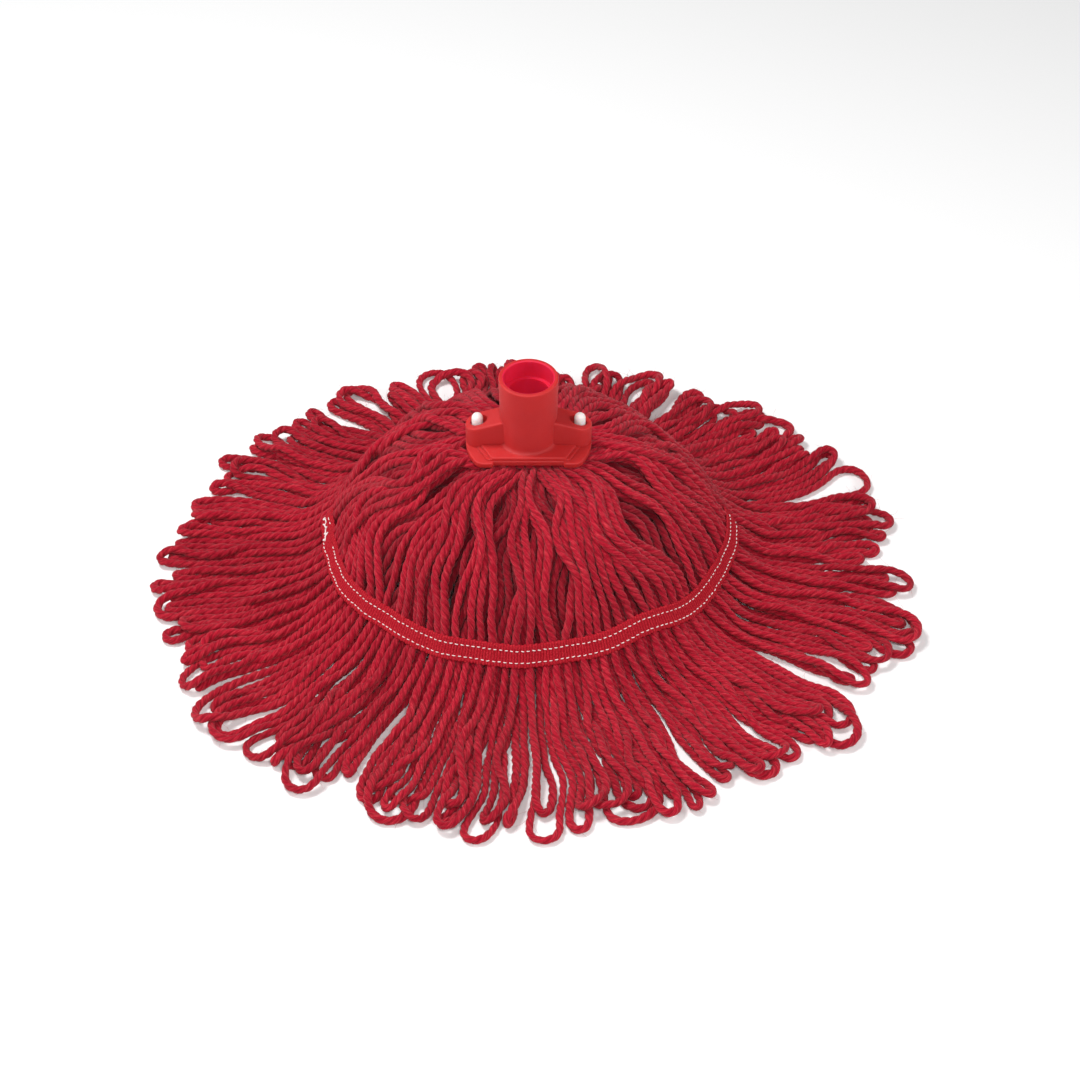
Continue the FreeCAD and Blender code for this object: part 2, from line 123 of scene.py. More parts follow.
# %% Camera
view_pitch = math.radians(42.5)
view_distance = 1.80
view_target = Vector((0.0063, 0.0, 0.0192))
camera_data = bpy.data.cameras.new("camera")
camera_data.sensor_width = 36.0
camera_data.lens = 104.8
camera = bpy.data.objects.new("camera", camera_data)
bpy.context.scene.collection.objects.link(camera)
back = Vector((0.0, -math.cos(view_pitch), math.sin(view_pitch)))
camera.location = view_target + back * view_distance
camera.rotation_euler = (-back).to_track_quat("-Z", "Y").to_euler()
bpy.context.scene.camera = camera
bpy.context.scene.view_settings.view_transform = "Standard"
print("camera at", [round(v, 3) for v in camera.location])


# %% Lamps
def area_light(name, place, size, power):
    """Square lamp of a size in metres and a power in watts that points at the middle of the mop."""
    data = bpy.data.lights.new(name, "AREA")
    data.size = size
    data.energy = power
    lamp = bpy.data.objects.new(name, data)
    lamp.location = place
    lamp.rotation_euler = (Vector((0, 0, 0.05)) - Vector(place)).to_track_quat("-Z", "Y").to_euler()
    bpy.context.scene.collection.objects.link(lamp)
    print(name, "lamp,", power, "W")


area_light("overhead", (-0.55, 0.20, 1.4), 0.40, 15.0)
area_light("front_high", (0.10, -1.20, 1.30), 0.40, 15.0)
area_light("right_fill", (1.5, -0.3, 0.8), 0.6, 9.5)
area_light("left_fill", (-1.5, -0.4, 0.7), 0.6, 9.0)

# %% World and floor
world = bpy.data.worlds.new("studio")
bpy.context.scene.world = world
world.use_nodes = True
sky = world.node_tree.nodes["Background"]
sky.inputs["Color"].default_value = (1.0, 1.0, 1.0, 1)
sky.inputs["Strength"].default_value = 0.14

floor_half = 3.0
floor_mesh = bpy.data.meshes.new("floor")
floor_mesh.from_pydata([(-floor_half, -floor_half, 0), (floor_half, -floor_half, 0),
                        (floor_half, floor_half, 0), (-floor_half, floor_half, 0)],
                       [], [(0, 1, 2, 3)])
floor = bpy.data.objects.new("floor", floor_mesh)
bpy.context.scene.collection.objects.link(floor)
floor_paint = bpy.data.materials.new("floor_paint")
floor_paint.use_nodes = True
floor_shader = floor_paint.node_tree.nodes["Principled BSDF"]
floor_shader.inputs["Base Color"].default_value = (0.92, 0.92, 0.92, 1)
floor_shader.inputs["Roughness"].default_value = 0.9
floor_mesh.materials.append(floor_paint)
print("floor", 2 * floor_half, "m wide")


# %% [markdown]
# ## Small helpers for shader nodes
# A material is a short recipe: noises and ramps make masks, and the masks steer colour, roughness
# and bump. These helpers add a node, link it and return it, so that a recipe reads in order.

# %% Node helpers
def new_material(name):
    """Material with a Principled shader; returns the material, its nodes, links and shader."""
    material = bpy.data.materials.new(name)
    material.use_nodes = True
    tree = material.node_tree
    return material, tree.nodes, tree.links, tree.nodes["Principled BSDF"]


def add(nodes, links, kind, settings=None, **inputs):
    """New node; settings set its properties, inputs set or link its sockets.

    An input's name gives a socket's name, or its number after an underscore, as in _0.
    """
    node = nodes.new(kind)
    for key, value in (settings or {}).items():
        setattr(node, key, value)
    for key, value in inputs.items():
        name = int(key[1:]) if key[0] == "_" else key.replace("_", " ")
        socket = node.inputs[name]
        if isinstance(value, bpy.types.NodeSocket):
            links.new(value, socket)
        else:
            socket.default_value = value
    return node


def ramp(nodes, links, factor, stops):
    """Colour ramp with (place, colour) stops."""
    node = nodes.new("ShaderNodeValToRGB")
    links.new(factor, node.inputs["Fac"])
    elements = node.color_ramp.elements
    while len(elements) < len(stops):
        elements.new(0.5)
    for element, (place, colour) in zip(elements, stops):
        element.position = place
        element.color = (*colour, 1) if len(colour) == 3 else colour
    return node


# %% [markdown]
# ## Where the tape runs
# The sewn band holds the yarn where the dome meets the fringe. It isn't a perfect ring: it is
# wider from side to side than from front to back, and it rides up where a bundle of yarn is
# thick. Everything else hangs from this line, so it comes first, as a distance and a height for
# each direction round the handle.

# %% Tape line
tape_half_x = tape_reach_x - 0.0030     # the band's own half width and slant
tape_half_front = 0.1008
tape_half_rear = 0.1050
tape_height = 0.0252


def hump(value, middle, width):
    """Bell that is 1 in the middle and fades over the width: exp(-((value - middle) / width)^2)."""
    return np.exp(-((value - middle) / width) ** 2)


def turn_degrees(angle):
    """An angle in degrees from -180 to 180, with -90 at the front."""
    return np.degrees(np.arctan2(np.sin(angle), np.cos(angle)))


def tape_radius(angle):
    """Distance of the tape's middle line from the handle axis: an oval with slight waves."""
    half_y = np.where(np.sin(angle) < 0, tape_half_front, tape_half_rear)
    oval = 1 / np.hypot(np.cos(angle) / tape_half_x, np.sin(angle) / half_y)
    turn = turn_degrees(angle)
    return (oval + 0.0034 * hump(turn, -117, 14) + 0.0016 * hump(turn, -70, 10)
            + 0.0007 * np.sin(7 * angle + 0.6) + 0.0005 * np.sin(12 * angle + 2.0))


def tape_rise(angle):
    """Height of the tape's middle line: level, with one hump to the right of the front."""
    turn = turn_degrees(angle)
    return (tape_height + 0.0080 * hump(turn, -52, 12) + 0.0010 * hump(turn, -128, 9)
            + 0.0008 * np.sin(5 * angle + 1.0) + 0.0006 * np.sin(9 * angle))


round_the_mop = np.linspace(-math.pi, math.pi, 361)
print("tape's distance", round(float(tape_radius(round_the_mop).min()), 4), "to",
      round(float(tape_radius(round_the_mop).max()), 4))

# %% [markdown]
# ## How the yarn lies
# Each strand starts under the flange, runs out, falls as a dome, goes under the tape, comes down
# to the floor, turns round in a loop and comes back the same way. First the route is written as
# formulas. A plan curve takes the strand from the flange to its place on the tape and then
# straight out. A profile gives the height for each distance. A rank from 0, outside, to 1,
# inside, stacks the strands: the ring has less room near the handle, so there are more layers
# there. Locks of neighbouring strands share their waves, as combed hair does, and the gaps
# between locks show the layer below.

# %% Sizes of the yarn
rng = np.random.default_rng(23)
strand_r = 0.0025            # half the thickness of a strand
passes_per_hank = 24
pass_count = passes_per_hank * hank_count
dome_points = 54
fringe_points = 40
turn_points = 9
layer_pitch = 0.0044        # from one layer of strands to the next

# %% Profile of the dome and of the fall to the floor
# height over the dome: share of the way from the handle to the tape, and of the flange's height
dome_share = np.array([0.10, 0.22, 0.34, 0.46, 0.58, 0.70, 0.79, 0.86, 0.92, 0.96, 1.0])
dome_height = np.array([0.95, 0.965, 0.965, 0.925, 0.84, 0.70, 0.55, 0.40, 0.245, 0.125, 0.0])
# fall past the tape: distance in metres, and share of the tape's height
fall_distance = np.array([0, 0.006, 0.012, 0.020, 0.030, 0.044])
fall_height = np.array([1.0, 0.71, 0.45, 0.22, 0.07, 0.0])


def step(low, high, value):
    """Smooth step from 0 at low to 1 at high."""
    t = np.clip((value - low) / (high - low), 0, 1)
    return t * t * (3 - 2 * t)


def smooth_between(places, values, wanted):
    """Curve through the values: on each stretch, the cubic with the neighbours' mean slopes."""
    slopes = np.gradient(values, places)
    left = np.clip(np.searchsorted(places, wanted, "right") - 1, 0, len(places) - 2)
    gap = places[left + 1] - places[left]
    t = np.clip((wanted - places[left]) / gap, 0, 1)
    return ((2 * t**3 - 3 * t**2 + 1) * values[left] + (t**3 - 2 * t**2 + t) * gap * slopes[left]
            + (3 * t**2 - 2 * t**3) * values[left + 1] + (t**3 - t**2) * gap * slopes[left + 1])


def height_at(distance, angle):
    """Height of the outermost strands at a distance and direction."""
    edge, rise = tape_radius(angle), tape_rise(angle)
    share = smooth_between(dome_share, dome_height, np.clip(distance / edge, dome_share[0], 1))
    dome = rise + (flange_z - rise) * share
    floor = strand_r + (rise - strand_r) * smooth_between(
        fall_distance, fall_height, np.clip(distance - edge, 0, fall_distance[-1]))
    return np.where(distance < edge, dome, floor)


front_heights = height_at(np.arange(0.02, 0.2, 0.02), -math.pi / 2)
print("height at the front, each 20 mm:", front_heights.round(3))

# %% [markdown]
# ## Which strand goes where
# A pass is one run of a strand from the clamp to its loop. Every hank has the same number of
# passes, side by side, and their ranks go up one, two, three, so that the layers are evenly
# filled. A little chance in the direction and the rank keeps them from looking combed. Most
# loops join two next neighbours, and some join passes two to four apart and lie across others.

# %% Passes: direction, rank and partner
pass_index = np.arange(pass_count)
pass_hank = pass_index // passes_per_hank
slot_in_hank = pass_index % passes_per_hank
share_in_hank = (slot_in_hank + 0.5) / passes_per_hank * 2 - 1
sector_filled = 0.975        # of a hank's sector; the rest stays free at its sides
pass_angle = hank_angles[pass_hank] + share_in_hank * half_sector * sector_filled
pass_angle = pass_angle + rng.normal(0, 0.013, pass_count)
pass_rank = np.clip((pass_index % 3 + 0.5) / 3 + rng.normal(0, 0.06, pass_count), 0, 1)


def partner_slots(count):
    """Pairs of passes joined by a loop: mostly next neighbours, some two to four apart."""
    free = list(range(count))
    pairs = []
    while free:
        first = free.pop(0)
        hop = min(int(rng.choice([0, 0, 0, 0, 1, 1, 2, 3])), len(free) - 1)
        pairs.append((first, free.pop(hop)))
    return pairs


pairs = np.array([(h * passes_per_hank + a, h * passes_per_hank + b)
                  for h in range(hank_count) for a, b in partner_slots(passes_per_hank)])
loop_count = len(pairs)
loop_hank = pairs[:, 0] // passes_per_hank
span = np.abs(pairs[:, 1] - pairs[:, 0])
loop_level = np.where(span > 1, np.minimum(span, 3) - 1, rng.integers(0, 2, loop_count) * 0.9)
print(pass_count, "passes in", loop_count, "loops")

# %% Reach of the loops
reach_centre = -0.0185       # the spread is pulled to the front by this much
reach_half_y = 0.1985


def loop_reach(angle):
    """Distance to the loops' ends: an ellipse whose middle lies in front of the handle.

    The distance solves the ellipse's equation along a ray from the handle, a quadratic.
    """
    cosine, sine = np.cos(angle), np.sin(angle)
    square = (cosine / reach_x) ** 2 + (sine / reach_half_y) ** 2
    linear = -reach_centre * sine / reach_half_y ** 2
    rest = (reach_centre / reach_half_y) ** 2 - 1
    return (-linear + np.sqrt(linear ** 2 - square * rest)) / square


loop_angle = pass_angle[pairs].mean(1)
settling_pull = 0.009   # the relaxation below draws the loops in by about this much
shortfall = 0.021 * rng.random(loop_count) ** 1.5 + 0.004 * (1 + np.sin(loop_angle * 13 + 1))
reach_of_loop = loop_reach(loop_angle) + settling_pull - strand_r - shortfall
pass_reach = np.zeros(pass_count)
pass_reach[pairs.ravel()] = np.repeat(reach_of_loop, 2)
print("loops reach", round(float(reach_of_loop.min()), 3), "to", round(float(reach_of_loop.max()), 3))


# %% Locks: waves that neighbouring strands share
def lock_waves(angle, along, width, size, length, seed, pinch=0.0):
    """Sideways shift of strands that share their lock's bow and wave.

    The circle is cut into locks of about the given width. Each has its own bow, a plain bulge
    to one side, and its own wave, a sine of the way along the strand. Between two locks the
    values cross over on a short stretch. With pinch, strands also move towards their lock's
    middle, by a sine of the place in the lock, so that gaps open between locks.
    """
    source = np.random.default_rng(seed)
    locks = int(round(2 * math.pi / width))
    place = (angle / (2 * math.pi) % 1) * locks
    place = place + 0.35 * np.sin(angle * 3 + seed) + 0.2 * np.sin(angle * 7 + 2 * seed)
    left = np.floor(place).astype(int)
    mix = step(0.38, 0.62, place - left)
    bow, swing_size = source.normal(0, size, locks), source.uniform(0.4, 1.3, locks) * size
    phase, stretch = source.uniform(0, 2 * math.pi, locks), length * source.uniform(0.8, 1.25, locks)
    total = 0
    for lock, weight in ((left % locks, 1 - mix), ((left + 1) % locks, mix)):
        wave = np.sin(2 * math.pi * along / stretch[lock] + phase[lock])
        total = total + weight * (bow[lock] + swing_size[lock] * wave)
    off_middle = ((place + 0.5) % 1 - 0.5) * (2 * math.pi / locks)
    return total - pinch * np.sin(off_middle * locks) / locks * 1.2


def own_wave(along, shortest, longest):
    """A sine along each strand, with a wave length and a start of its own."""
    length = rng.uniform(shortest, longest, (len(along), 1))
    return np.sin(2 * math.pi * along / length + rng.uniform(0, 6.28, (len(along), 1)))


print("shift of neighbours, mm:", (lock_waves(np.array([0.0, 0.1, 0.2]), 0.05, 0.24, 0.0088, 0.058, 5)
                                   * 1000).round(1))

# %% Dome: plan, layers and height
under_flange = (0.0250, 0.0140)     # oval on which the strands come out from the clamp
dome_locks = ((0.24, 0.0088, 0.058, 5, 0.05),    # outer layer: width, size, length, seed, pinch
              (0.30, 0.0072, 0.050, 8, 0.02),    # middle layer
              (0.36, 0.0026, 0.064, 13, 0.0))    # inner layer, nearly straight


def dome_paths():
    """Centre lines from the flange to the tape, (pass, point, xyz).

    The plan is a cubic Bezier curve: it leaves an oval under the flange, bunched towards the
    front and back, and meets the tape at right angles. Locks shift it sideways, most in the
    middle, and more on the left than at the back. In front a parting opens the outer layer. The
    height is the dome's profile, moved inwards by the strand's rank times the number of layers
    that the yarn needs at that distance.
    """
    t = np.linspace(0, 1, dome_points)[None, :, None]
    side = np.where(np.sin(pass_angle) > 0, math.pi / 2, -math.pi / 2)
    wrapped = np.arctan2(np.sin(pass_angle - side), np.cos(pass_angle - side))
    start_angle = side + wrapped * 0.80 + rng.normal(0, 0.05, pass_count)
    start = np.stack([under_flange[0] * np.cos(start_angle), under_flange[1] * np.sin(start_angle)], 1)
    start = start[:, None]
    leave_angle = side + wrapped * 0.93
    leave = np.stack([np.cos(leave_angle), np.sin(leave_angle)], 1)[:, None]
    out = np.stack([np.cos(pass_angle), np.sin(pass_angle)], 1)[:, None]
    end = out * tape_radius(pass_angle)[:, None, None]
    plan = ((1 - t)**3 * start + 3 * (1 - t)**2 * t * (start + leave * 0.026)
            + 3 * (1 - t) * t**2 * (end - out * 0.034) + t**3 * end)
    along = np.concatenate([np.zeros((pass_count, 1)),
                            np.cumsum(np.linalg.norm(np.diff(plan, axis=1), axis=2), 1)], 1)
    tangent = np.gradient(plan, axis=1)
    tangent /= np.linalg.norm(tangent, axis=2, keepdims=True)
    across = np.stack([-tangent[..., 1], tangent[..., 0]], -1)

    angle = np.broadcast_to(pass_angle[:, None], along.shape)
    rank = pass_rank[:, None]
    waves = [lock_waves(angle, along, *lock) for lock in dome_locks]
    band = np.clip(np.floor(pass_rank * 3), 0, 2).astype(int)[:, None]
    shift = np.choose(band, waves)
    livelier = 1 + 0.7 * hump(turn_degrees(angle) % 360, 195, 35)
    parting = np.arctan2(np.sin(angle + 1.72), np.cos(angle + 1.72))
    open_up = np.sign(parting) * np.exp(-np.abs(parting) / 0.22) * hump(along, 0.052, 0.022)
    calmer = 1 - 0.45 * step(0.2, 0.9, np.sin(angle))
    shift = shift * livelier * calmer + 0.0105 * open_up * (pass_rank < 0.45)[:, None]
    share = t[..., 0]
    bell = step(0.06, 0.40, share) * (1 - step(0.70, 1.0, share))
    own = 0.0016 * own_wave(along, 0.04, 0.08) + 0.0005 * own_wave(along, 0.022, 0.036)
    plan = plan + across * (bell * (shift + own))[..., None]

    distance = np.linalg.norm(plan, axis=2)
    turn = np.arctan2(plan[..., 1], plan[..., 0])
    z = height_at(distance, turn)
    slope = (height_at(distance + 0.0005, turn) - height_at(distance - 0.0005, turn)) / 0.001
    slope = np.clip(slope, -2.2, 0.6)
    layers = pass_count * 2 * strand_r / (2 * math.pi * np.maximum(distance, 0.03))
    pitch = layer_pitch * (0.42 + 0.58 * step(0.022, 0.062, distance))
    inward = rank * np.maximum(layers - 0.9, 0.5) * pitch
    scale = 1 / np.hypot(1, slope)
    lines = np.concatenate([plan, z[..., None]], 2)
    radial = np.stack([np.cos(turn), np.sin(turn)], -1)
    lines[..., :2] += radial * (inward * slope * scale)[..., None]
    lines[..., 2] -= inward * scale
    return lines


# %% Fringe: from the tape to the loops
forward_sweep = 0.09    # strands at the sides drift towards the front, as a share of their run


def fringe_paths(entries):
    """Centre lines from the tape to the loops, starting at the dome paths' last points.

    The strand goes straight out from its place on the tape and falls to the floor. Locks turn
    it a little to one side, more and more towards the end. Its layer above the floor comes from
    its rank and its loop's level, and near the end both passes of a loop bow apart.
    """
    t = np.linspace(0, 1, fringe_points + 1)[None, 1:]
    edge = np.linalg.norm(entries[:, :2], axis=1)[:, None]
    angle = np.arctan2(entries[:, 1], entries[:, 0])[:, None]
    distance = edge + (pass_reach[:, None] - 0.004 - edge) * t
    beyond = step(0, 1, t)
    drift = lock_waves(angle + 0 * t, distance, 0.145, 0.0056, 0.075, 21, 0.055)
    own = rng.normal(0, 0.0032, (pass_count, 1))
    waviness = 0.0019 * own_wave(distance, 0.05, 0.09) + 0.0006 * own_wave(distance, 0.024, 0.04)
    tuft = lock_waves(angle + 0 * t, distance, 0.070, 0.0010, 0.05, 33, 0.10)
    shift = beyond * (drift + own) + step(0.0, 0.25, t) * tuft + step(0.05, 0.4, t) * waviness
    shift = shift - forward_sweep * (distance - edge) * np.cos(angle)
    from_end = pass_reach[:, None] - distance
    first_side = np.zeros(pass_count)
    first_side[pairs[:, 0]] = -1
    first_side[pairs[:, 1]] = 1
    loop_width = np.zeros(pass_count)
    loop_width[pairs.ravel()] = np.repeat(rng.uniform(0.0045, 0.0120, loop_count) / np.sqrt(span), 2)
    bow = step(0.040, 0.012, from_end) * (1 - 0.25 * step(0.010, 0.0, from_end))
    shift = shift + (first_side * loop_width)[:, None] * 0.55 * bow

    level = np.zeros(pass_count)
    level[pairs.ravel()] = np.repeat(loop_level, 2)
    outermost = height_at(distance, angle + 0 * t)
    entry_drop = (height_at(edge, angle) - entries[:, 2:]) * (1 - step(0.0, 0.22, t))
    stack = layer_pitch * (0.9 * (1 - pass_rank[:, None]) * step(0.05, 0.25, t) * (1 - 0.5 * t)
                           + level[:, None] * step(0.45, 0.85, t))
    z = np.maximum(outermost - entry_drop + stack, strand_r)
    x = distance * np.cos(angle) - shift * np.sin(angle)
    y = distance * np.sin(angle) + shift * np.cos(angle)
    return np.stack([x, y, z], -1)


dome_lines = dome_paths()
fringe_lines = fringe_paths(dome_lines[:, -1])
centre_lines = np.concatenate([dome_lines, fringe_lines], 1)
print("paths", centre_lines.shape)


# %% [markdown]
# ## Closing the loops
# Two passes and a round turn between them make one loop of yarn. Each loop is then cut into the
# same number of even links, because the next step moves all loops at once as one array.

# %% Loops: two passes and the turn between them
def turn_path(first_end, second_end, outward):
    """Round turn from one pass's end to the other's, bulging outwards by half the distance."""
    middle = (first_end + second_end) / 2
    half = (second_end - first_end) / 2
    width = np.linalg.norm(half, axis=1, keepdims=True)
    t = np.linspace(0, math.pi, turn_points + 2)[1:-1][None, :, None]
    bulge = outward * np.clip(width, 0.0036, 0.006)
    return middle[:, None] - half[:, None] * np.cos(t) + bulge[:, None] * np.sin(t)


def resample(chains, count):
    """Evenly spaced points along each chain, for all chains at once."""
    steps = np.linalg.norm(np.diff(chains, axis=1), axis=2)
    length = np.concatenate([np.zeros((len(chains), 1)), np.cumsum(steps, 1)], 1)
    want = np.linspace(0, 1, count)[None] * length[:, -1:]
    left = (length[:, None, :] <= want[:, :, None]).sum(2) - 1
    left = np.clip(left, 0, chains.shape[1] - 2)
    row = np.arange(len(chains))[:, None]
    t = (want - length[row, left]) / np.maximum(length[row, left + 1] - length[row, left], 1e-9)
    return chains[row, left] * (1 - t[..., None]) + chains[row, left + 1] * t[..., None]


outward = np.stack([np.cos(loop_angle), np.sin(loop_angle), np.zeros(loop_count)], 1)
first = centre_lines[pairs[:, 0]]
second = centre_lines[pairs[:, 1]]
turns = turn_path(first[:, -1], second[:, -1], outward)
chain_points = 168
chains = resample(np.concatenate([first, turns, second[:, ::-1]], 1), chain_points)
print("chains", chains.shape, "spacing mm",
      round(float(np.linalg.norm(np.diff(chains, axis=1), axis=2).mean() * 1000), 2))


# %% [markdown]
# ## Letting the yarn settle
# A formula lets strands run through each other, and real yarn can't. Blender could simulate
# hundreds of ropes, but not in seconds, so a simple relaxation does it: each link keeps its
# length, sharp bends open, points of different strands push apart to one strand's thickness,
# gravity pulls the fringe down, and the floor, the flange and the hank's sides stop it. It needs
# the pairs of points that are close, and a grid finds them without comparing all with all.

# %% Pairs of close points, found with a grid
def close_pairs(points, chain_of, index_of, reach):
    """Index pairs nearer than reach, leaving out close neighbours on one chain.

    Points are sorted by grid cell. For each of the 27 neighbour cells a sorted search gives the
    run of points in that cell, and runs are expanded to pairs by repeating and counting.
    """
    cell = np.floor((points - points.min(0)) / reach).astype(np.int64) + 1
    size = cell.max(0) + 2
    key = (cell[:, 0] * size[1] + cell[:, 1]) * size[2] + cell[:, 2]
    order = np.argsort(key, kind="stable")
    sorted_key = key[order]
    found_a, found_b = [], []
    for dx in (-1, 0, 1):
        for dy in (-1, 0, 1):
            for dz in (-1, 0, 1):
                other = key + (dx * size[1] + dy) * size[2] + dz
                start = np.searchsorted(sorted_key, other, "left")
                stop = np.searchsorted(sorted_key, other, "right")
                count = stop - start
                a = np.repeat(np.arange(len(points)), count)
                offset = np.arange(len(a)) - np.repeat(np.cumsum(count) - count, count)
                b = order[np.repeat(start, count) + offset]
                keep = a < b
                found_a.append(a[keep])
                found_b.append(b[keep])
    a, b = np.concatenate(found_a), np.concatenate(found_b)
    apart = (chain_of[a] != chain_of[b]) | (np.abs(index_of[a] - index_of[b]) > 5)
    a, b = a[apart], b[apart]
    near = ((points[a] - points[b]) ** 2).sum(1) < reach ** 2
    return a[near], b[near]


# %% [markdown]
# ## Room for the hinges
# Each hank of the fringe swings about the seam as one body. Two neighbours never cut into each
# other if every strand stays on its own side of the line between them, at rest and swung up.

# %% Sides of a hank
def seam_limits(n, t, body_angle):
    """Sideways limits of a hank at distance n along its direction, for points at sideways t.

    When hanks swing up together their points come inwards, where the sector is narrower, so the
    room past the hinge grows only with the cosine of the swing. The line between two hanks
    waves to and fro, and both hanks use the same line.
    """
    room = (hinge_distance * math.tan(half_sector) - strand_r * 0.8
            + (n - hinge_distance) * math.tan(half_sector) * math.cos(swing))
    seam_angle = body_angle + np.sign(t) * half_sector
    run = np.clip(n - hinge_distance, 0, 0.1)
    waved = run * (0.055 * np.sin(n * 62 + seam_angle * 5) - forward_sweep * np.cos(seam_angle))
    return np.clip(t, waved - room, waved + room)


# %% Relaxation
def settle(chains, rounds):
    """Moves the chains' points until links, bends, contacts and stops agree.

    Every round: the fringe sinks a little, links and bends are pulled right, overlapping pairs
    share the push that parts them, each point is drawn back to its home by its hold, which is
    firm at the tape and loose in the fringe, and the hank's sides, the flange and the floor
    stop what went too far.
    """
    loops, count = chains.shape[:2]
    x = chains.reshape(-1, 3).copy()
    home = x.copy()
    link = np.linalg.norm(np.diff(chains, axis=1), axis=2).mean(1)[:, None, None]
    chain_of = np.repeat(np.arange(loops), count)
    index_of = np.tile(np.arange(count), loops)
    body_angle = hank_angles[loop_hank][chain_of]
    along = np.stack([np.cos(body_angle), np.sin(body_angle)], 1)
    across = np.stack([-np.sin(body_angle), np.cos(body_angle)], 1)
    home_r = np.hypot(home[:, 0], home[:, 1])
    home_angle = np.arctan2(home[:, 1], home[:, 0])
    edge = tape_radius(home_angle)
    pinned = np.minimum(index_of, count - 1 - index_of) < 3
    hold = np.where(home_r < edge - 0.012, 0.05, 0.022)
    hold = np.maximum(hold, 0.40 * hump(home_r, edge, 0.007))
    hold[pinned] = 1.0
    hold_height = np.where(home_r > edge + 0.010, 0.003, hold)
    holds = np.stack([hold, hold, hold_height], 1)
    free = np.where(pinned, 0.0, 1.0)[:, None]
    contact = 2 * strand_r * (0.70 + 0.26 * step(0.030, 0.060, home_r))
    fall = np.where(home_r > edge + 0.004, 1.0, 0.0)
    for turn in range(rounds):
        if turn % 8 == 0:
            a, b = close_pairs(x, chain_of, index_of, 2 * strand_r * 1.12)
            want = np.minimum(contact[a], contact[b])
        x[:, 2] -= 0.00018 * fall * (1 - turn / rounds * 0.7)
        p = x.reshape(loops, count, 3)
        for _ in range(2):
            for phase in (0, 1):
                ends = p[:, phase + 1::2]
                d = ends - p[:, phase:-1:2][:, :ends.shape[1]]
                size = np.linalg.norm(d, axis=2, keepdims=True)
                push = d * (0.5 * (1 - link / np.maximum(size, 1e-9)))
                p[:, phase:-1:2][:, :d.shape[1]] += push
                p[:, phase + 1::2] -= push
        bend = (p[:, :-4] + p[:, 4:]) / 2 - p[:, 2:-2]
        excess = np.linalg.norm(bend, axis=2, keepdims=True)
        p[:, 2:-2] += bend * np.clip((excess - 0.0005) / 0.002, 0.02, 0.35)
        x = p.reshape(-1, 3)
        d = x[a] - x[b]
        size = np.sqrt((d ** 2).sum(1))
        depth = np.maximum(want - size, 0)
        push = d * (depth * 0.5 / np.maximum(size, 1e-6))[:, None]
        hits = (depth > 0).astype(float)
        shift = np.stack([np.bincount(a, push[:, k], len(x)) - np.bincount(b, push[:, k], len(x))
                          for k in range(3)], 1)
        touch = np.bincount(a, hits, len(x)) + np.bincount(b, hits, len(x))
        x = x + shift / np.maximum(touch * 0.6, 1)[:, None] * free
        x = x + (home - x) * holds
        n = (x[:, :2] * along).sum(1)
        t = (x[:, :2] * across).sum(1)
        beyond = step(0.112, 0.126, n) * (t - seam_limits(n, t, body_angle))
        x[:, :2] -= across * beyond[:, None]
        covered = (np.abs(x[:, 0]) < socket_high.x + 0.001) & (np.abs(x[:, 1]) < socket_high.y + 0.001)
        x[:, 2] = np.where(covered, np.minimum(x[:, 2], flange_z - strand_r), x[:, 2])
        x[:, 2] = np.maximum(x[:, 2], strand_r * 1.1)
    print(rounds, "rounds, contacts left deeper than a mm:", int((depth > 0.001).sum()),
          "of", len(depth))
    return x.reshape(loops, count, 3)


chains = settle(chains, 160)
for _ in range(2):
    chains[:, 1:-1] += 0.25 * (chains[:, :-2] + chains[:, 2:] - 2 * chains[:, 1:-1])
print("outermost points", [round(float(np.abs(chains[..., k]).max()), 4) for k in range(2)])


# %% [markdown]
# ## From centre lines to twisted yarn
# A strand is three plies twisted together. Its skin is a tube whose outline has three soft
# lobes, and the outline turns as it moves along, the S way. Because the mesh's lengthwise lines
# turn with it, they follow the plies, and a fibre pattern drawn along them follows too. The
# outline's angle and the length go into the UV map; a number for each strand goes into an
# attribute, so that strands can differ a little in colour.

# %% Finer centre lines
ply_pitch = 0.0172          # length in which a ply goes once round the strand


def refine(chains, factor):
    """More points on each chain, on cubic segments through the old ones with their mean slopes."""
    slopes = np.gradient(chains, axis=1)
    a, b = chains[:, :-1, None], chains[:, 1:, None]
    ma, mb = slopes[:, :-1, None], slopes[:, 1:, None]
    t = (np.arange(factor) / factor)[None, None, :, None]
    fine = ((2 * t**3 - 3 * t**2 + 1) * a + (t**3 - 2 * t**2 + t) * ma
            + (-2 * t**3 + 3 * t**2) * b + (t**3 - t**2) * mb)
    fine = fine.reshape(len(chains), -1, 3)
    return np.concatenate([fine, chains[:, -1:]], 1)


fine_chains = refine(chains, 2)
print("points along a loop", fine_chains.shape[1])


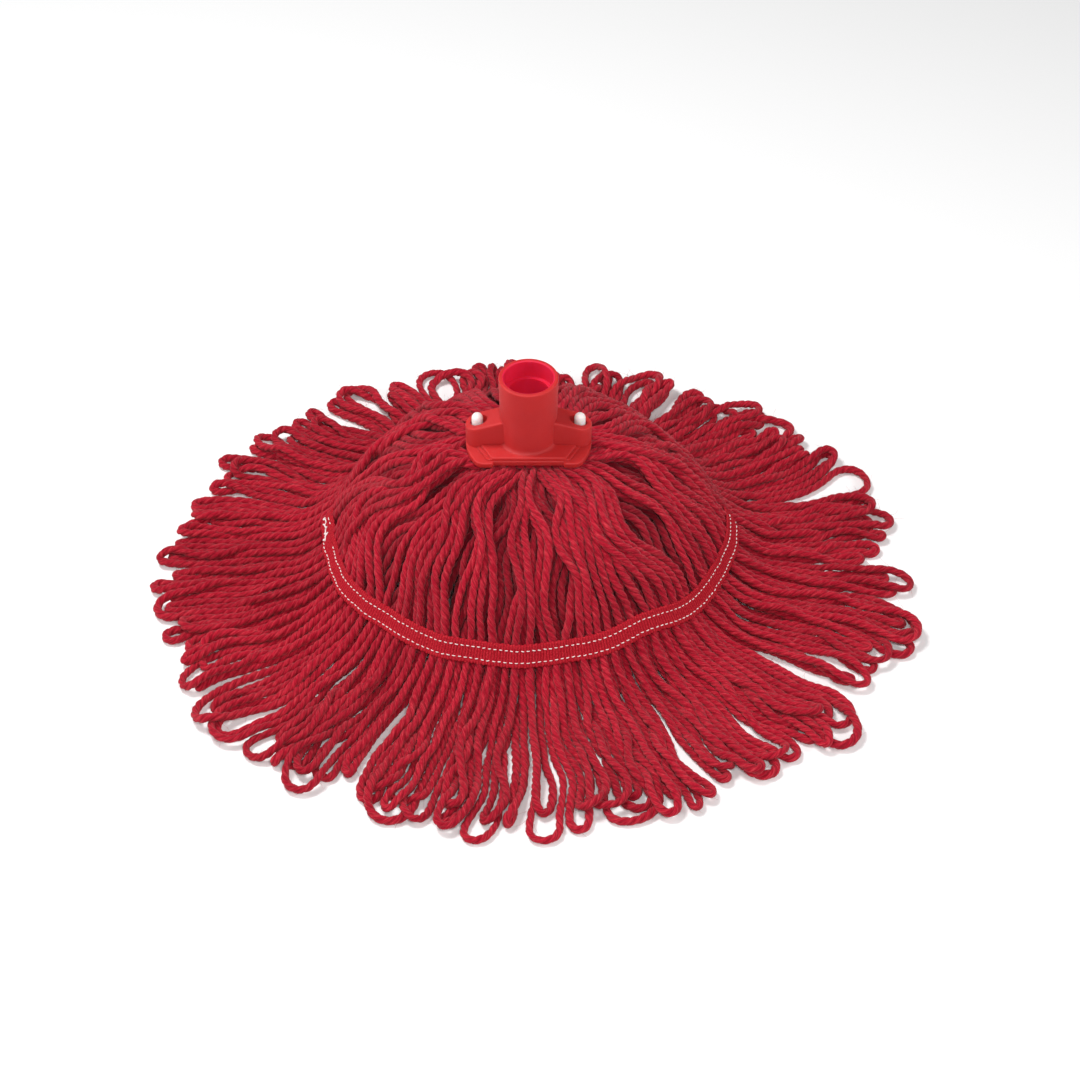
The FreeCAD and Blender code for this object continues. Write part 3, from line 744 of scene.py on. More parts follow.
# %% Twisted tubes
def yarn_tubes(name, lines, radius, numbers, material, ring_points=12, groove_depth=0.26,
               painted_cover_shade=0.0):
    """Mesh of twisted three-ply tubes along centre lines (strand, point, xyz).

    At each point the outline stands across the line's direction. Its first axis points away from
    a place far below the mop, and the outline is turned from there by the twist: the length
    divided by the strand's own pitch, in turns, plus a slow wander. The radius falls between the
    plies by the groove depth, swells a little along the strand, and has a slight roughness of
    its own. Both ends are closed by a point. The last argument, one number or one for each point,
    is the strength of a painted shade for strands that lie under others, from 0 to 1; it goes
    into a point attribute.
    """
    strands, count = lines.shape[:2]
    tangent = np.gradient(lines, axis=1)
    tangent /= np.linalg.norm(tangent, axis=2, keepdims=True)
    away = lines - np.array([0, 0, -0.30])
    side = away - tangent * (away * tangent).sum(2, keepdims=True)
    side /= np.linalg.norm(side, axis=2, keepdims=True)
    other = np.cross(tangent, side)
    length = np.concatenate([np.zeros((strands, 1)),
                             np.cumsum(np.linalg.norm(np.diff(lines, axis=1), axis=2), 1)], 1)
    phase = numbers[:, None] * 40.0
    pitch = ply_pitch * (0.86 + 0.28 * (numbers[:, None] * 7.3 % 1))
    wander = 0.70 * np.sin(length * 43 + 3.1 * phase) + 0.50 * np.sin(length * 91 + phase)
    twist = -2 * math.pi * length / pitch + wander + phase
    ring = np.arange(ring_points) / ring_points * 2 * math.pi
    turn = twist[..., None] + ring
    lobe = 1 - groove_depth * (1 - np.abs(np.cos(1.5 * ring))) ** 1.2
    swell = 1 + 0.045 * np.sin(length * 310 + phase) + 0.05 * np.sin(length * 123 + 2.7 * phase)
    rough = 1 + 0.022 * np.random.default_rng(7).standard_normal(twist.shape + (ring_points,))
    size = (radius * swell)[..., None] * lobe[None, None] * rough
    points = (lines[:, :, None] + side[:, :, None] * (np.cos(turn) * size)[..., None]
              + other[:, :, None] * (np.sin(turn) * size)[..., None])
    ends = lines[:, [0, -1]]
    vertices = np.concatenate([points.reshape(strands, -1, 3), ends], 1)
    per_strand = vertices.shape[1]

    i = np.arange(count - 1)[:, None] * ring_points
    j = np.arange(ring_points)[None]
    k = (j + 1) % ring_points
    quads = np.stack([i + j, i + k, i + ring_points + k, i + ring_points + j], -1).reshape(-1, 4)
    cap_a = np.stack([k[0], j[0], np.full(ring_points, count * ring_points)], -1)
    last = (count - 1) * ring_points
    cap_b = np.stack([last + j[0], last + k[0], np.full(ring_points, count * ring_points + 1)], -1)
    base = (np.arange(strands) * per_strand)[:, None, None]
    quads = (quads[None] + base).reshape(-1, 4)
    caps = (np.concatenate([cap_a, cap_b])[None] + base).reshape(-1, 3)

    around = np.stack([j, j + 1, j + 1, j], -1) / ring_points
    around = np.broadcast_to(around, (count - 1, ring_points, 4))
    rows = np.arange(count - 1)[:, None, None]
    row_of = np.stack([rows, rows, rows + 1, rows + 1], -1)[:, :, 0]
    row_of = np.broadcast_to(row_of, (count - 1, ring_points, 4))
    u = length[:, row_of.reshape(-1)] * 100
    v = np.broadcast_to(around.reshape(-1), u.shape)
    uv = np.stack([u, v], -1).reshape(-1, 2)
    uv = np.concatenate([uv, np.zeros((len(caps) * 3, 2))])

    mesh = bpy.data.meshes.new(name)
    mesh.vertices.add(strands * per_strand)
    mesh.vertices.foreach_set("co", vertices.astype(np.float32).ravel())
    loops = np.concatenate([quads.ravel(), caps.ravel()])
    starts = np.concatenate([np.arange(len(quads)) * 4, len(quads) * 4 + np.arange(len(caps)) * 3])
    mesh.loops.add(len(loops))
    mesh.loops.foreach_set("vertex_index", loops.astype(np.int32))
    mesh.polygons.add(len(starts))
    mesh.polygons.foreach_set("loop_start", starts.astype(np.int32))
    mesh.polygons.foreach_set("use_smooth", np.ones(len(starts), bool))
    mesh.update(calc_edges=True)
    layer = mesh.uv_layers.new(name="UVMap")
    layer.data.foreach_set("uv", uv.astype(np.float32).ravel())
    tone = mesh.attributes.new("strand_tone", "FLOAT", "POINT")
    tone.data.foreach_set("value", np.repeat(numbers, per_strand).astype(np.float32))
    depth = np.broadcast_to(painted_cover_shade, (strands, count))
    depth = np.concatenate([np.repeat(depth, ring_points, axis=1), depth[:, [0, -1]]], 1)
    shade = mesh.attributes.new("painted_cover_shade", "FLOAT", "POINT")
    shade.data.foreach_set("value", depth.astype(np.float32).ravel())
    mesh.validate()
    mesh.materials.append(material)
    piece = bpy.data.objects.new(name, mesh)
    bpy.context.scene.collection.objects.link(piece)
    return piece


# %% Across a hinge
def bend_at_hinge(piece):
    """Bakes the piece's placement into its mesh; the piece stays on no body."""
    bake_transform(piece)


# %% [markdown]
# ## Yarn finish
# Cotton yarn is matt and hairy. Its colour is a deep red that looks paler where fibres catch the
# light and almost black between the strands. Fine fibres lie along each ply; the grooves between
# plies get a painted shade, a darker colour where shade falls; a few pale specks of lint cling to
# it. Strands that lie under others in the dome get a painted shade too, a darker colour set by a
# point attribute. The shader draws the fibres on a cylinder made from the UV map, so the pattern
# has no seam. The sewing thread is spun too, so the pattern is a node group that both materials
# use.

# %% Group: fibres along a ply
def make_fibre_group():
    """Fibre streaks, groove shade and lint, from UV (length, angle) and a strand's number."""
    group = bpy.data.node_groups.new("yarn_fibres", "ShaderNodeTree")
    for name, kind in (("UV", "NodeSocketVector"), ("Number", "NodeSocketFloat")):
        group.interface.new_socket(name=name, in_out="INPUT", socket_type=kind)
    for name in ("Fibres", "GrooveShade", "Lint"):
        group.interface.new_socket(name=name, in_out="OUTPUT", socket_type="NodeSocketFloat")
    nodes, links = group.nodes, group.links
    source = nodes.new("NodeGroupInput")
    result = nodes.new("NodeGroupOutput")
    split = add(nodes, links, "ShaderNodeSeparateXYZ", _0=source.outputs["UV"])
    angle = add(nodes, links, "ShaderNodeMath", {"operation": "MULTIPLY"},
                _0=split.outputs["Y"], _1=2 * math.pi)
    cosine = add(nodes, links, "ShaderNodeMath", {"operation": "COSINE"}, _0=angle.outputs[0])
    sine = add(nodes, links, "ShaderNodeMath", {"operation": "SINE"}, _0=angle.outputs[0])
    shifted = add(nodes, links, "ShaderNodeMath", {"operation": "MULTIPLY_ADD"},
                  _0=source.outputs["Number"], _1=57.0, _2=split.outputs["X"])
    around = add(nodes, links, "ShaderNodeCombineXYZ",
                 X=cosine.outputs[0], Y=sine.outputs[0], Z=shifted.outputs[0])
    streak_place = add(nodes, links, "ShaderNodeVectorMath", {"operation": "MULTIPLY"},
                       _0=around.outputs[0], _1=(2.6, 2.6, 1.6))
    streaks = add(nodes, links, "ShaderNodeTexNoise", {"noise_dimensions": "3D"},
                  Vector=streak_place.outputs[0], Scale=1.8, Detail=4.0, Roughness=0.65)
    links.new(streaks.outputs["Fac"], result.inputs["Fibres"])
    ply = add(nodes, links, "ShaderNodeMath", {"operation": "MULTIPLY"},
              _0=split.outputs["Y"], _1=3 * math.pi)
    crest = add(nodes, links, "ShaderNodeMath", {"operation": "COSINE"}, _0=ply.outputs[0])
    crest = add(nodes, links, "ShaderNodeMath", {"operation": "ABSOLUTE"}, _0=crest.outputs[0])
    # painted shade mask: 1 in the grooves between plies, where shade falls, and 0 on the crests
    groove = add(nodes, links, "ShaderNodeMapRange",
                 _0=crest.outputs[0], _1=0.0, _2=0.50, _3=1.0, _4=0.0)
    links.new(groove.outputs[0], result.inputs["GrooveShade"])
    lint_place = add(nodes, links, "ShaderNodeVectorMath", {"operation": "MULTIPLY"},
                     _0=around.outputs[0], _1=(1.0, 1.0, 2.2))
    lint = add(nodes, links, "ShaderNodeTexNoise",
               Vector=lint_place.outputs[0], Scale=3.1, Detail=5.0, Roughness=0.75)
    lint_mask = add(nodes, links, "ShaderNodeMapRange",
                    _0=lint.outputs["Fac"], _1=0.69, _2=0.76, _3=0.0, _4=1.0)
    links.new(lint_mask.outputs[0], result.inputs["Lint"])
    return group


def spun_fibres(nodes, links):
    """The fibre group, fed by a tube's UV map and its strand's number."""
    uv = nodes.new("ShaderNodeUVMap")
    uv.uv_map = "UVMap"
    number = nodes.new("ShaderNodeAttribute")
    number.attribute_name = "strand_tone"
    fibres = nodes.new("ShaderNodeGroup")
    fibres.node_tree = fibre_group
    links.new(uv.outputs[0], fibres.inputs["UV"])
    links.new(number.outputs["Fac"], fibres.inputs["Number"])
    return fibres, number


fibre_group = make_fibre_group()
print("group", fibre_group.name, "with", len(fibre_group.nodes), "nodes")


# %% Yarn material
def make_yarn_material():
    """Matt red cotton: fibres, lint, tone, painted shade in grooves and on covered strands, bump."""
    material, nodes, links, shader = new_material("red_yarn")
    fibres, number = spun_fibres(nodes, links)
    base = ramp(nodes, links, fibres.outputs["Fibres"],
                [(0.32, (0.22, 0.001, 0.008)), (0.50, (0.37, 0.004, 0.020)),
                 (0.68, (0.55, 0.045, 0.058))])
    tone = add(nodes, links, "ShaderNodeHueSaturation", Color=base.outputs["Color"])
    value = add(nodes, links, "ShaderNodeMapRange",
                _0=number.outputs["Fac"], _1=0.0, _2=1.0, _3=0.88, _4=1.1)
    links.new(value.outputs[0], tone.inputs["Value"])
    # painted shade: the grooves between plies are darkened towards a dark red
    groove_shaded = add(nodes, links, "ShaderNodeMix", {"data_type": "RGBA", "blend_type": "MIX"})
    factor = add(nodes, links, "ShaderNodeMath", {"operation": "MULTIPLY"},
                 _0=fibres.outputs["GrooveShade"], _1=0.6)
    links.new(factor.outputs[0], groove_shaded.inputs["Factor"])
    links.new(tone.outputs[0], groove_shaded.inputs["A"])
    groove_shaded.inputs["B"].default_value = (0.11, 0.001, 0.005, 1)
    # painted shade: strands that lie under others are darkened towards a near-black red
    painted_cover_shade = nodes.new("ShaderNodeAttribute")
    painted_cover_shade.attribute_name = "painted_cover_shade"
    painted_cover_mix = add(nodes, links, "ShaderNodeMix", {"data_type": "RGBA"})
    links.new(painted_cover_shade.outputs["Fac"], painted_cover_mix.inputs["Factor"])
    links.new(groove_shaded.outputs["Result"], painted_cover_mix.inputs["A"])
    painted_cover_mix.inputs["B"].default_value = (0.06, 0.0003, 0.003, 1)
    linted = add(nodes, links, "ShaderNodeMix", {"data_type": "RGBA"})
    links.new(painted_cover_mix.outputs["Result"], linted.inputs["A"])
    linted.inputs["B"].default_value = (0.72, 0.30, 0.30, 1)
    lint = add(nodes, links, "ShaderNodeMath", {"operation": "MULTIPLY"},
               _0=fibres.outputs["Lint"], _1=0.5)
    links.new(lint.outputs[0], linted.inputs["Factor"])
    links.new(linted.outputs["Result"], shader.inputs["Base Color"])
    shader.inputs["Roughness"].default_value = 0.92
    shader.inputs["Specular IOR Level"].default_value = 0.08
    shader.inputs["Sheen Weight"].default_value = 0.15
    shader.inputs["Sheen Roughness"].default_value = 0.55
    shader.inputs["Sheen Tint"].default_value = (1.0, 0.55, 0.55, 1)
    relief = add(nodes, links, "ShaderNodeBump", Strength=0.5, Distance=0.0006)
    links.new(fibres.outputs["Fibres"], relief.inputs["Height"])
    links.new(relief.outputs[0], shader.inputs["Normal"])
    return material


red_yarn = make_yarn_material()
print("material", red_yarn.name)

# %% [markdown]
# ## The hanks
# One piece holds all loops of a hank. It can't ride on one body, because its strands run from the
# still dome into the swinging fringe, and here it is tied to no body.


# %% Hanks of yarn
loop_numbers = rng.random(loop_count)
# strands are pressed thin between the flange and the clamp
fine_distance = np.hypot(fine_chains[..., 0], fine_chains[..., 1])
strand_size = strand_r * (0.72 + 0.28 * step(0.020, 0.055, fine_distance))
strand_size = strand_size * rng.uniform(0.86, 1.04, (loop_count, 1))
# Strands under the outer layer get little light, so their colour is darkened: a painted shade.
# Cover is how far a strand lies below the outer layer, and the painted shade fades out near the
# fold and near the tape.
deepest_shade = 0.75
shade_starts, shade_full = 0.6 * strand_r, 3.6 * strand_r
fold_fade_start, fold_fade_stop = 0.030, 0.045
tape_fade = 0.012
fine_turn = np.arctan2(fine_chains[..., 1], fine_chains[..., 0])
cover = height_at(fine_distance, fine_turn) - fine_chains[..., 2]
in_dome = (step(0.0, tape_fade, tape_radius(fine_turn) - fine_distance)
           * step(fold_fade_start, fold_fade_stop, fine_distance))
painted_cover_shade = deepest_shade * step(shade_starts, shade_full, cover) * in_dome
print("share of yarn under cover", round(float((painted_cover_shade > deepest_shade / 2).mean()), 2))
for h in range(hank_count):
    mine = loop_hank == h
    piece = yarn_tubes("yarn_hank_" + hank_names[h], fine_chains[mine], strand_size[mine],
                       loop_numbers[mine], red_yarn, painted_cover_shade=painted_cover_shade[mine])
    bend_at_hinge(piece)
    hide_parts("dome_hank_" + hank_names[h], "fringe_hank_" + hank_names[h])

# %% [markdown]
# ## Stray fibres
# Cotton yarn sheds. Fine curled fibres stand off the strands and catch the light, and without
# them the yarn looks like plastic rope. Each is a hair-thin triangular tube: it starts on a
# strand's surface, leans along the strand and curls away.

# %% Fibres
fibres_per_hank = 620
fibre_r = 0.00007


def fibre_lines(chains, sizes, count, source):
    """Centre lines of curled fibres on the strands' upper sides, (fibre, point, xyz).

    A fibre follows its strand's direction mixed with a random one, and bends by a second random
    direction times the square of the way.
    """
    strand = source.integers(0, len(chains), count)
    point = source.integers(20, chains.shape[1] - 20, count)
    start = chains[strand, point]
    along = chains[strand, point + 1] - chains[strand, point - 1]
    along /= np.linalg.norm(along, axis=1, keepdims=True)
    up = source.normal(0, 0.7, (count, 3)) + np.array([0, 0, 1.0])
    up -= along * (up * along).sum(1, keepdims=True)
    up /= np.linalg.norm(up, axis=1, keepdims=True)
    forwards = along * source.choice([-1, 1], (count, 1))
    lean = source.normal(0, 0.8, (count, 3)) + up * 0.5 + forwards * 1.2
    lean /= np.linalg.norm(lean, axis=1, keepdims=True)
    curl = source.normal(0, 1, (count, 3))
    length = source.uniform(0.0025, 0.0075, (count, 1, 1))
    t = np.linspace(0, 1, 6)[None, :, None]
    base = start + up * (sizes[strand, point, None] * 0.92)
    lines = base[:, None] + length * (lean[:, None] * t + curl[:, None] * t ** 2 * 0.45)
    lines[..., 2] = np.maximum(lines[..., 2], 0.0003)
    return lines


for h in range(hank_count):
    mine = loop_hank == h
    lines = fibre_lines(fine_chains[mine], strand_size[mine], fibres_per_hank, rng)
    sizes = fibre_r * (1 - 0.6 * np.linspace(0, 1, 6)) * np.ones((fibres_per_hank, 1))
    fibres = yarn_tubes("yarn_fibres_" + hank_names[h], lines, sizes, rng.random(fibres_per_hank),
                        red_yarn, ring_points=3, groove_depth=0.0)
    bend_at_hinge(fibres)
print("stray fibres", fibres_per_hank * hank_count)

# %% [markdown]
# ## Yarn under the clamp's flange
# Between the flange and the clamp the strands lie side by side and pressed flat, in three layers.
# Only their ends show, at the flange's front edge, so a few straight strands are enough.

# %% Core yarn
core_layers = 3
core_strands = 11
core_half_x = 0.0245
core_half_y = 0.0178
core_r = (core_high.z - core_low.z) / (2 * core_layers)
layer_z = core_low.z + core_r * (2 * np.arange(core_layers) + 1)
x, z = np.meshgrid(np.linspace(-core_half_x, core_half_x, core_strands), layer_z)
along_y = np.linspace(-core_half_y, core_half_y, 24)
core_lines = np.stack(np.broadcast_arrays(x.ravel()[:, None], along_y[None], z.ravel()[:, None]), -1)
core_lines[..., 0] += 0.0006 * np.sin(along_y * 300 + z.ravel()[:, None] * 900)
core_yarn = yarn_tubes("core_yarn", core_lines, np.full(core_lines.shape[:2], core_r * 0.98),
                       rng.random(len(core_lines)), red_yarn)
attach(core_yarn, root_body)
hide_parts("yarn_core")
print("core yarn", len(core_lines), "strands,", round(core_r * 2000, 1), "mm thick")


# %% [markdown]
# ## The sewn tapes
# A woven band lies on the yarn and a second one under it, and two rows of lockstitch hold the
# strands between them. The band follows the strands that have settled: for each direction the
# highest strand is looked up, and the valleys between strands are bridged, as stiff cloth does.
# Its weave has ribs across the middle and a slanting weave outside the stitch rows.

# %% Bed for the tapes
tape_width = 0.0135
bed_columns = 720           # cells round the mop
bed_rows = np.linspace(-0.5, 0.5, 6) * tape_width


def tape_axes(angle):
    """Middle point of the tape and its two directions: across, towards the hem, and outwards."""
    edge = tape_radius(angle)
    inner, outer = edge - 0.0045, edge + 0.0045
    drop = height_at(inner, angle) - height_at(outer, angle)
    size = np.hypot(0.009, drop)
    across_r, across_z = 0.009 / size, -drop / size
    radial = np.stack([np.cos(angle), np.sin(angle)], -1)
    middle_z = (height_at(inner, angle) + height_at(outer, angle)) / 2
    middle = np.concatenate([radial * edge[..., None], middle_z[..., None]], -1)
    across = np.concatenate([radial * across_r[..., None], across_z[..., None]], -1)
    outwards = np.concatenate([radial * -across_z[..., None], across_r[..., None]], -1)
    return middle, across, outwards


def bed_height(sign):
    """Height of the settled yarn over the tape's plane: its top for +1, its underside for -1.

    Strand points near the tape go into cells by direction and place across. Each cell keeps its
    highest point. A running maximum over a strand's width bridges valleys, and a running mean
    rounds the result.
    """
    points = fine_chains.reshape(-1, 3)
    sizes = strand_size.reshape(-1)
    angle = np.arctan2(points[:, 1], points[:, 0])
    middle, across, outwards = tape_axes(angle)
    place = ((points - middle) * across).sum(1)
    height = ((points - middle) * outwards).sum(1) * sign + sizes
    near = (np.abs(place) < tape_width * 0.62) & (np.abs(height) < 0.03)
    column = np.floor((angle[near] / (2 * math.pi) % 1) * bed_columns).astype(int) % bed_columns
    row = np.clip(np.round((place[near] / tape_width + 0.5) * (len(bed_rows) - 1)), 0,
                  len(bed_rows) - 1).astype(int)
    bed = np.full((bed_columns, len(bed_rows)), -0.02)
    np.maximum.at(bed, (column, row), height[near])
    bed = np.max([np.roll(bed, k, 0) for k in range(-4, 5)], 0)
    bed = np.mean([np.roll(bed, k, 0) for k in range(-4, 5)], 0)
    wide = np.concatenate([bed[:, :1], bed, bed[:, -1:]], 1)
    return (wide[:, :-2] + wide[:, 1:-1] + wide[:, 2:]) / 3


bed_of = {1: bed_height(1), -1: bed_height(-1)}
print("yarn over the tape's line, mm", round(float(bed_of[1].mean() * 1000), 1),
      "and under it", round(float(bed_of[-1].mean() * 1000), 1))


def on_tape(angle, place, height, sign=1):
    """Point on the tape: direction round the handle, place across, height over the yarn's bed."""
    middle, across, outwards = tape_axes(angle)
    column = (angle / (2 * math.pi) % 1) * bed_columns - 0.5
    left = np.floor(column).astype(int)
    mix = column - left
    row = np.clip((place / tape_width + 0.5) * (len(bed_rows) - 1), 0, len(bed_rows) - 1.001)
    low = np.floor(row).astype(int)
    up = row - low
    bed = bed_of[sign]
    first, second = left % bed_columns, (left + 1) % bed_columns
    value = ((bed[first, low] * (1 - mix) + bed[second, low] * mix) * (1 - up)
             + (bed[first, low + 1] * (1 - mix) + bed[second, low + 1] * mix) * up)
    return (middle + across * place[..., None]
            + outwards * (sign * (value + height - 0.0005))[..., None])


# %% [markdown]
# ## Woven tape
# The weave is real relief: a ribbed strip has its own shadow lines, which a flat strip with a
# bump pattern loses at its edge. A cross-section of eighteen points is carried along the band,
# and the weave raises the points on its top.

# %% Weave
rib_pitch = 0.0016
row_inner = -0.00295        # the two stitch rows, measured across from the band's middle
row_outer = 0.00375


def weave(s, place):
    """Relief of the weave, 0 to 1: ribs across the middle, slanting cells outside the rows."""
    ribs = 0.5 - 0.5 * np.cos(2 * math.pi * s / rib_pitch)
    slant = 0.5 - 0.5 * np.cos(2 * math.pi * (s / rib_pitch + np.abs(place) / 0.0021))
    middle = (place > row_inner) & (place < row_outer)
    seam = np.maximum(hump(place, row_inner, 0.0006), hump(place, row_outer, 0.0006))
    return np.where(middle, ribs ** 0.7, 0.85 * slant) * (1 - 0.8 * seam)


print("ribs across a band", [round(float(weave(np.array(k * rib_pitch / 8), np.array(0.0))), 2)
                             for k in range(9)])


# %% Woven strips
def woven_strip(name, put, length, spacing, material, width=tape_width, thickness=0.0006,
                relief=0.00045):
    """Closed woven strip; put(s, place, height) gives a point for a place on the strip.

    Each cross-section is a ring: fifteen points over the top, with the weave's relief, and three
    along the back. The long edges are scalloped. Rings are joined by quads, and each end is
    closed by triangles to its middle.
    """
    count = int(length / spacing)
    top = np.sin(np.linspace(-0.5, 0.5, 15) * math.pi * 0.9) / math.sin(0.45 * math.pi) * width / 2
    back = np.array([0.46, 0.0, -0.46]) * width
    place = np.concatenate([top, back])[None]
    s = np.linspace(0, length, count)[:, None]
    scallop = 1 + 0.035 * np.sin(2 * math.pi * s / (2 * rib_pitch))
    edge = np.sqrt(np.clip(1 - (2 * top / width) ** 10, 0, 1))
    raised = edge * thickness + relief * edge * weave(s, top[None])
    height = np.concatenate([raised, np.zeros((count, 3))], 1)
    points = put(np.broadcast_to(s, height.shape), place * scallop, height)
    ring = points.shape[1]
    ends = points[[0, -1]].mean(1)
    vertices = np.concatenate([points.reshape(-1, 3), ends])
    i = np.arange(count - 1)[:, None] * ring
    j = np.arange(ring)[None]
    k = (j + 1) % ring
    quads = np.stack([i + j, i + k, i + ring + k, i + ring + j], -1).reshape(-1, 4)
    last = (count - 1) * ring
    caps = np.concatenate([np.stack([k[0], j[0], np.full(ring, count * ring)], -1),
                           np.stack([last + j[0], last + k[0], np.full(ring, count * ring + 1)], -1)])
    mesh = bpy.data.meshes.new(name)
    mesh.from_pydata(vertices.tolist(), [], quads.tolist() + caps.tolist())
    mesh.polygons.foreach_set("use_smooth", np.ones(len(mesh.polygons), bool))
    uv_s = np.broadcast_to(s, (count, ring)).ravel()
    uv_w = np.broadcast_to(place, (count, ring)).ravel()
    flat = np.concatenate([np.stack([uv_s, uv_w], 1) * 100, np.zeros((2, 2))])
    corner = np.empty(len(mesh.loops), np.int32)
    mesh.loops.foreach_get("vertex_index", corner)
    layer = mesh.uv_layers.new(name="UVMap")
    layer.data.foreach_set("uv", flat[corner].astype(np.float32).ravel())
    mesh.materials.append(material)
    piece = bpy.data.objects.new(name, mesh)
    bpy.context.scene.collection.objects.link(piece)
    return piece


# %% Tape material
def make_tape_material():
    """Dyed woven cotton: redder than the yarn, with fine threads and painted shade in rib valleys."""
    material, nodes, links, shader = new_material("red_tape")
    uv = nodes.new("ShaderNodeUVMap")
    uv.uv_map = "UVMap"
    stretch = add(nodes, links, "ShaderNodeVectorMath", {"operation": "MULTIPLY"},
                  _0=uv.outputs[0], _1=(24.0, 9.0, 1.0))
    threads = add(nodes, links, "ShaderNodeTexNoise",
                  Vector=stretch.outputs[0], Scale=1.0, Detail=3.0, Roughness=0.6)
    colour = ramp(nodes, links, threads.outputs["Fac"],
                  [(0.34, (0.29, 0.002, 0.010)), (0.50, (0.42, 0.006, 0.018)),
                   (0.66, (0.54, 0.034, 0.044))])
    # painted shade: the valleys between the ribs are darkened where shade falls
    wave = add(nodes, links, "ShaderNodeSeparateXYZ", _0=uv.outputs[0])
    phase = add(nodes, links, "ShaderNodeMath", {"operation": "MULTIPLY"},
                _0=wave.outputs["X"], _1=2 * math.pi / (rib_pitch * 100))
    valley = add(nodes, links, "ShaderNodeMath", {"operation": "COSINE"}, _0=phase.outputs[0])
    shade = add(nodes, links, "ShaderNodeMapRange",
                _0=valley.outputs[0], _1=0.2, _2=1.0, _3=0.0, _4=0.6)
    valley_shaded = add(nodes, links, "ShaderNodeMix", {"data_type": "RGBA"})
    links.new(shade.outputs[0], valley_shaded.inputs["Factor"])
    links.new(colour.outputs["Color"], valley_shaded.inputs["A"])
    valley_shaded.inputs["B"].default_value = (0.16, 0.001, 0.004, 1)
    links.new(valley_shaded.outputs["Result"], shader.inputs["Base Color"])
    shader.inputs["Roughness"].default_value = 0.85
    shader.inputs["Specular IOR Level"].default_value = 0.15
    relief = add(nodes, links, "ShaderNodeBump", Strength=0.4, Distance=0.0003)
    links.new(threads.outputs["Fac"], relief.inputs["Height"])
    links.new(relief.outputs[0], shader.inputs["Normal"])
    return material


red_tape = make_tape_material()
print("material", red_tape.name)


# %% [markdown]
# ## Bands round the yarn
# The front band goes a little more than half way round and the rear band covers part of the far
# side. Each has a band above the yarn and one below it.

# %% Bands
def length_table(start, stop, sign):
    """Angles and lengths along the band's middle line between two angles."""
    angles = np.linspace(start, stop, 1200)
    line = on_tape(angles, np.zeros(1200), np.zeros(1200), sign)
    line[:, 2] = np.convolve(np.pad(line[:, 2], 8, "edge"), np.full(17, 1 / 17), "valid")
    steps = np.linalg.norm(np.diff(line, axis=0), axis=1)
    return angles, np.concatenate([[0], np.cumsum(steps)])


def sewn_band(name, node, start, stop, sign, spacing):
    """Woven strip round the yarn, above it for sign +1 and under it for -1."""
    angles, lengths = length_table(start, stop, sign)

    def put(s, place, height):
        angle = np.interp(s, lengths, angles)
        return on_tape(angle, np.broadcast_to(place, s.shape), height, sign)

    piece = woven_strip(name, put, lengths[-1], spacing, red_tape)
    if sign < 0:
        piece.data.flip_normals()
    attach(piece, root_body)
    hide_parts(node)
    return angles, lengths


# directions of the bands' ends, counted from +X
front_span = (math.radians(-186), math.radians(6))
rear_span = (math.radians(32), math.radians(148))
front_table = sewn_band("tape_front_band", "tape_front_top", *front_span, 1, 0.00034)
rear_table = sewn_band("tape_rear_band", "tape_rear_top", *rear_span, 1, 0.00034)
sewn_band("tape_front_under_band", "tape_front_under", *front_span, -1, 0.0008)
sewn_band("tape_rear_under_band", "tape_rear_under", *rear_span, -1, 0.0008)


# %% [markdown]
# ## Centre tapes
# Where the strands fold over the clamp, a flat tape above them and one below keep them in order.
# The socket hides them, so each is a plain strip that fills the box of its CAD node.

# %% Centre tapes
def centre_tape(node):
    """Flat woven strip where the strands fold, filling the box of its CAD node."""
    low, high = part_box(node)
    middle_x, middle_y = (low.x + high.x) / 2, (low.y + high.y) / 2
    length, width, thickness = high.x - low.x, high.y - low.y, high.z - low.z

    def put(s, place, height):
        s, place, height = np.broadcast_arrays(s, place, height)
        return np.stack([middle_x - length / 2 + s, middle_y + place, low.z + height], -1)

    piece = woven_strip(node + "_strip", put, length, 0.0004, red_tape, width * 0.97,
                        thickness * 0.6, thickness * 0.35)
    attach(piece, root_body)
    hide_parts(node)
    print(piece.name, round(length, 4), "by", round(width * 0.97, 4))


centre_tape("centre_tape_top")
centre_tape("centre_tape_under")


# %% [markdown]
# ## Stitches
# Each row is a line of white dashes: the thread comes up, lies on the cloth for a little under
# two millimetres and dives in again. A dash is a short twisted tube whose ends go down into the
# tape, and one piece holds a whole row.

# %% Thread
def make_thread_material():
    """White spun thread with a slight pink cast, a painted reflection of the red round it; no groove
    shade, no lint.
    """
    material, nodes, links, shader = new_material("white_thread")
    fibres, _ = spun_fibres(nodes, links)
    # the pink cast of these colours is painted reflection of the red round the thread
    colour = ramp(nodes, links, fibres.outputs["Fibres"],
                  [(0.3, (0.74, 0.62, 0.60)), (0.7, (0.86, 0.80, 0.78))])
    links.new(colour.outputs["Color"], shader.inputs["Base Color"])
    shader.inputs["Roughness"].default_value = 0.6
    return material


white_thread = make_thread_material()
print("material", white_thread.name)

# %% Rows of dashes
stitch_pitch = 0.0031
dash_length = 0.0018
thread_r = 0.00029


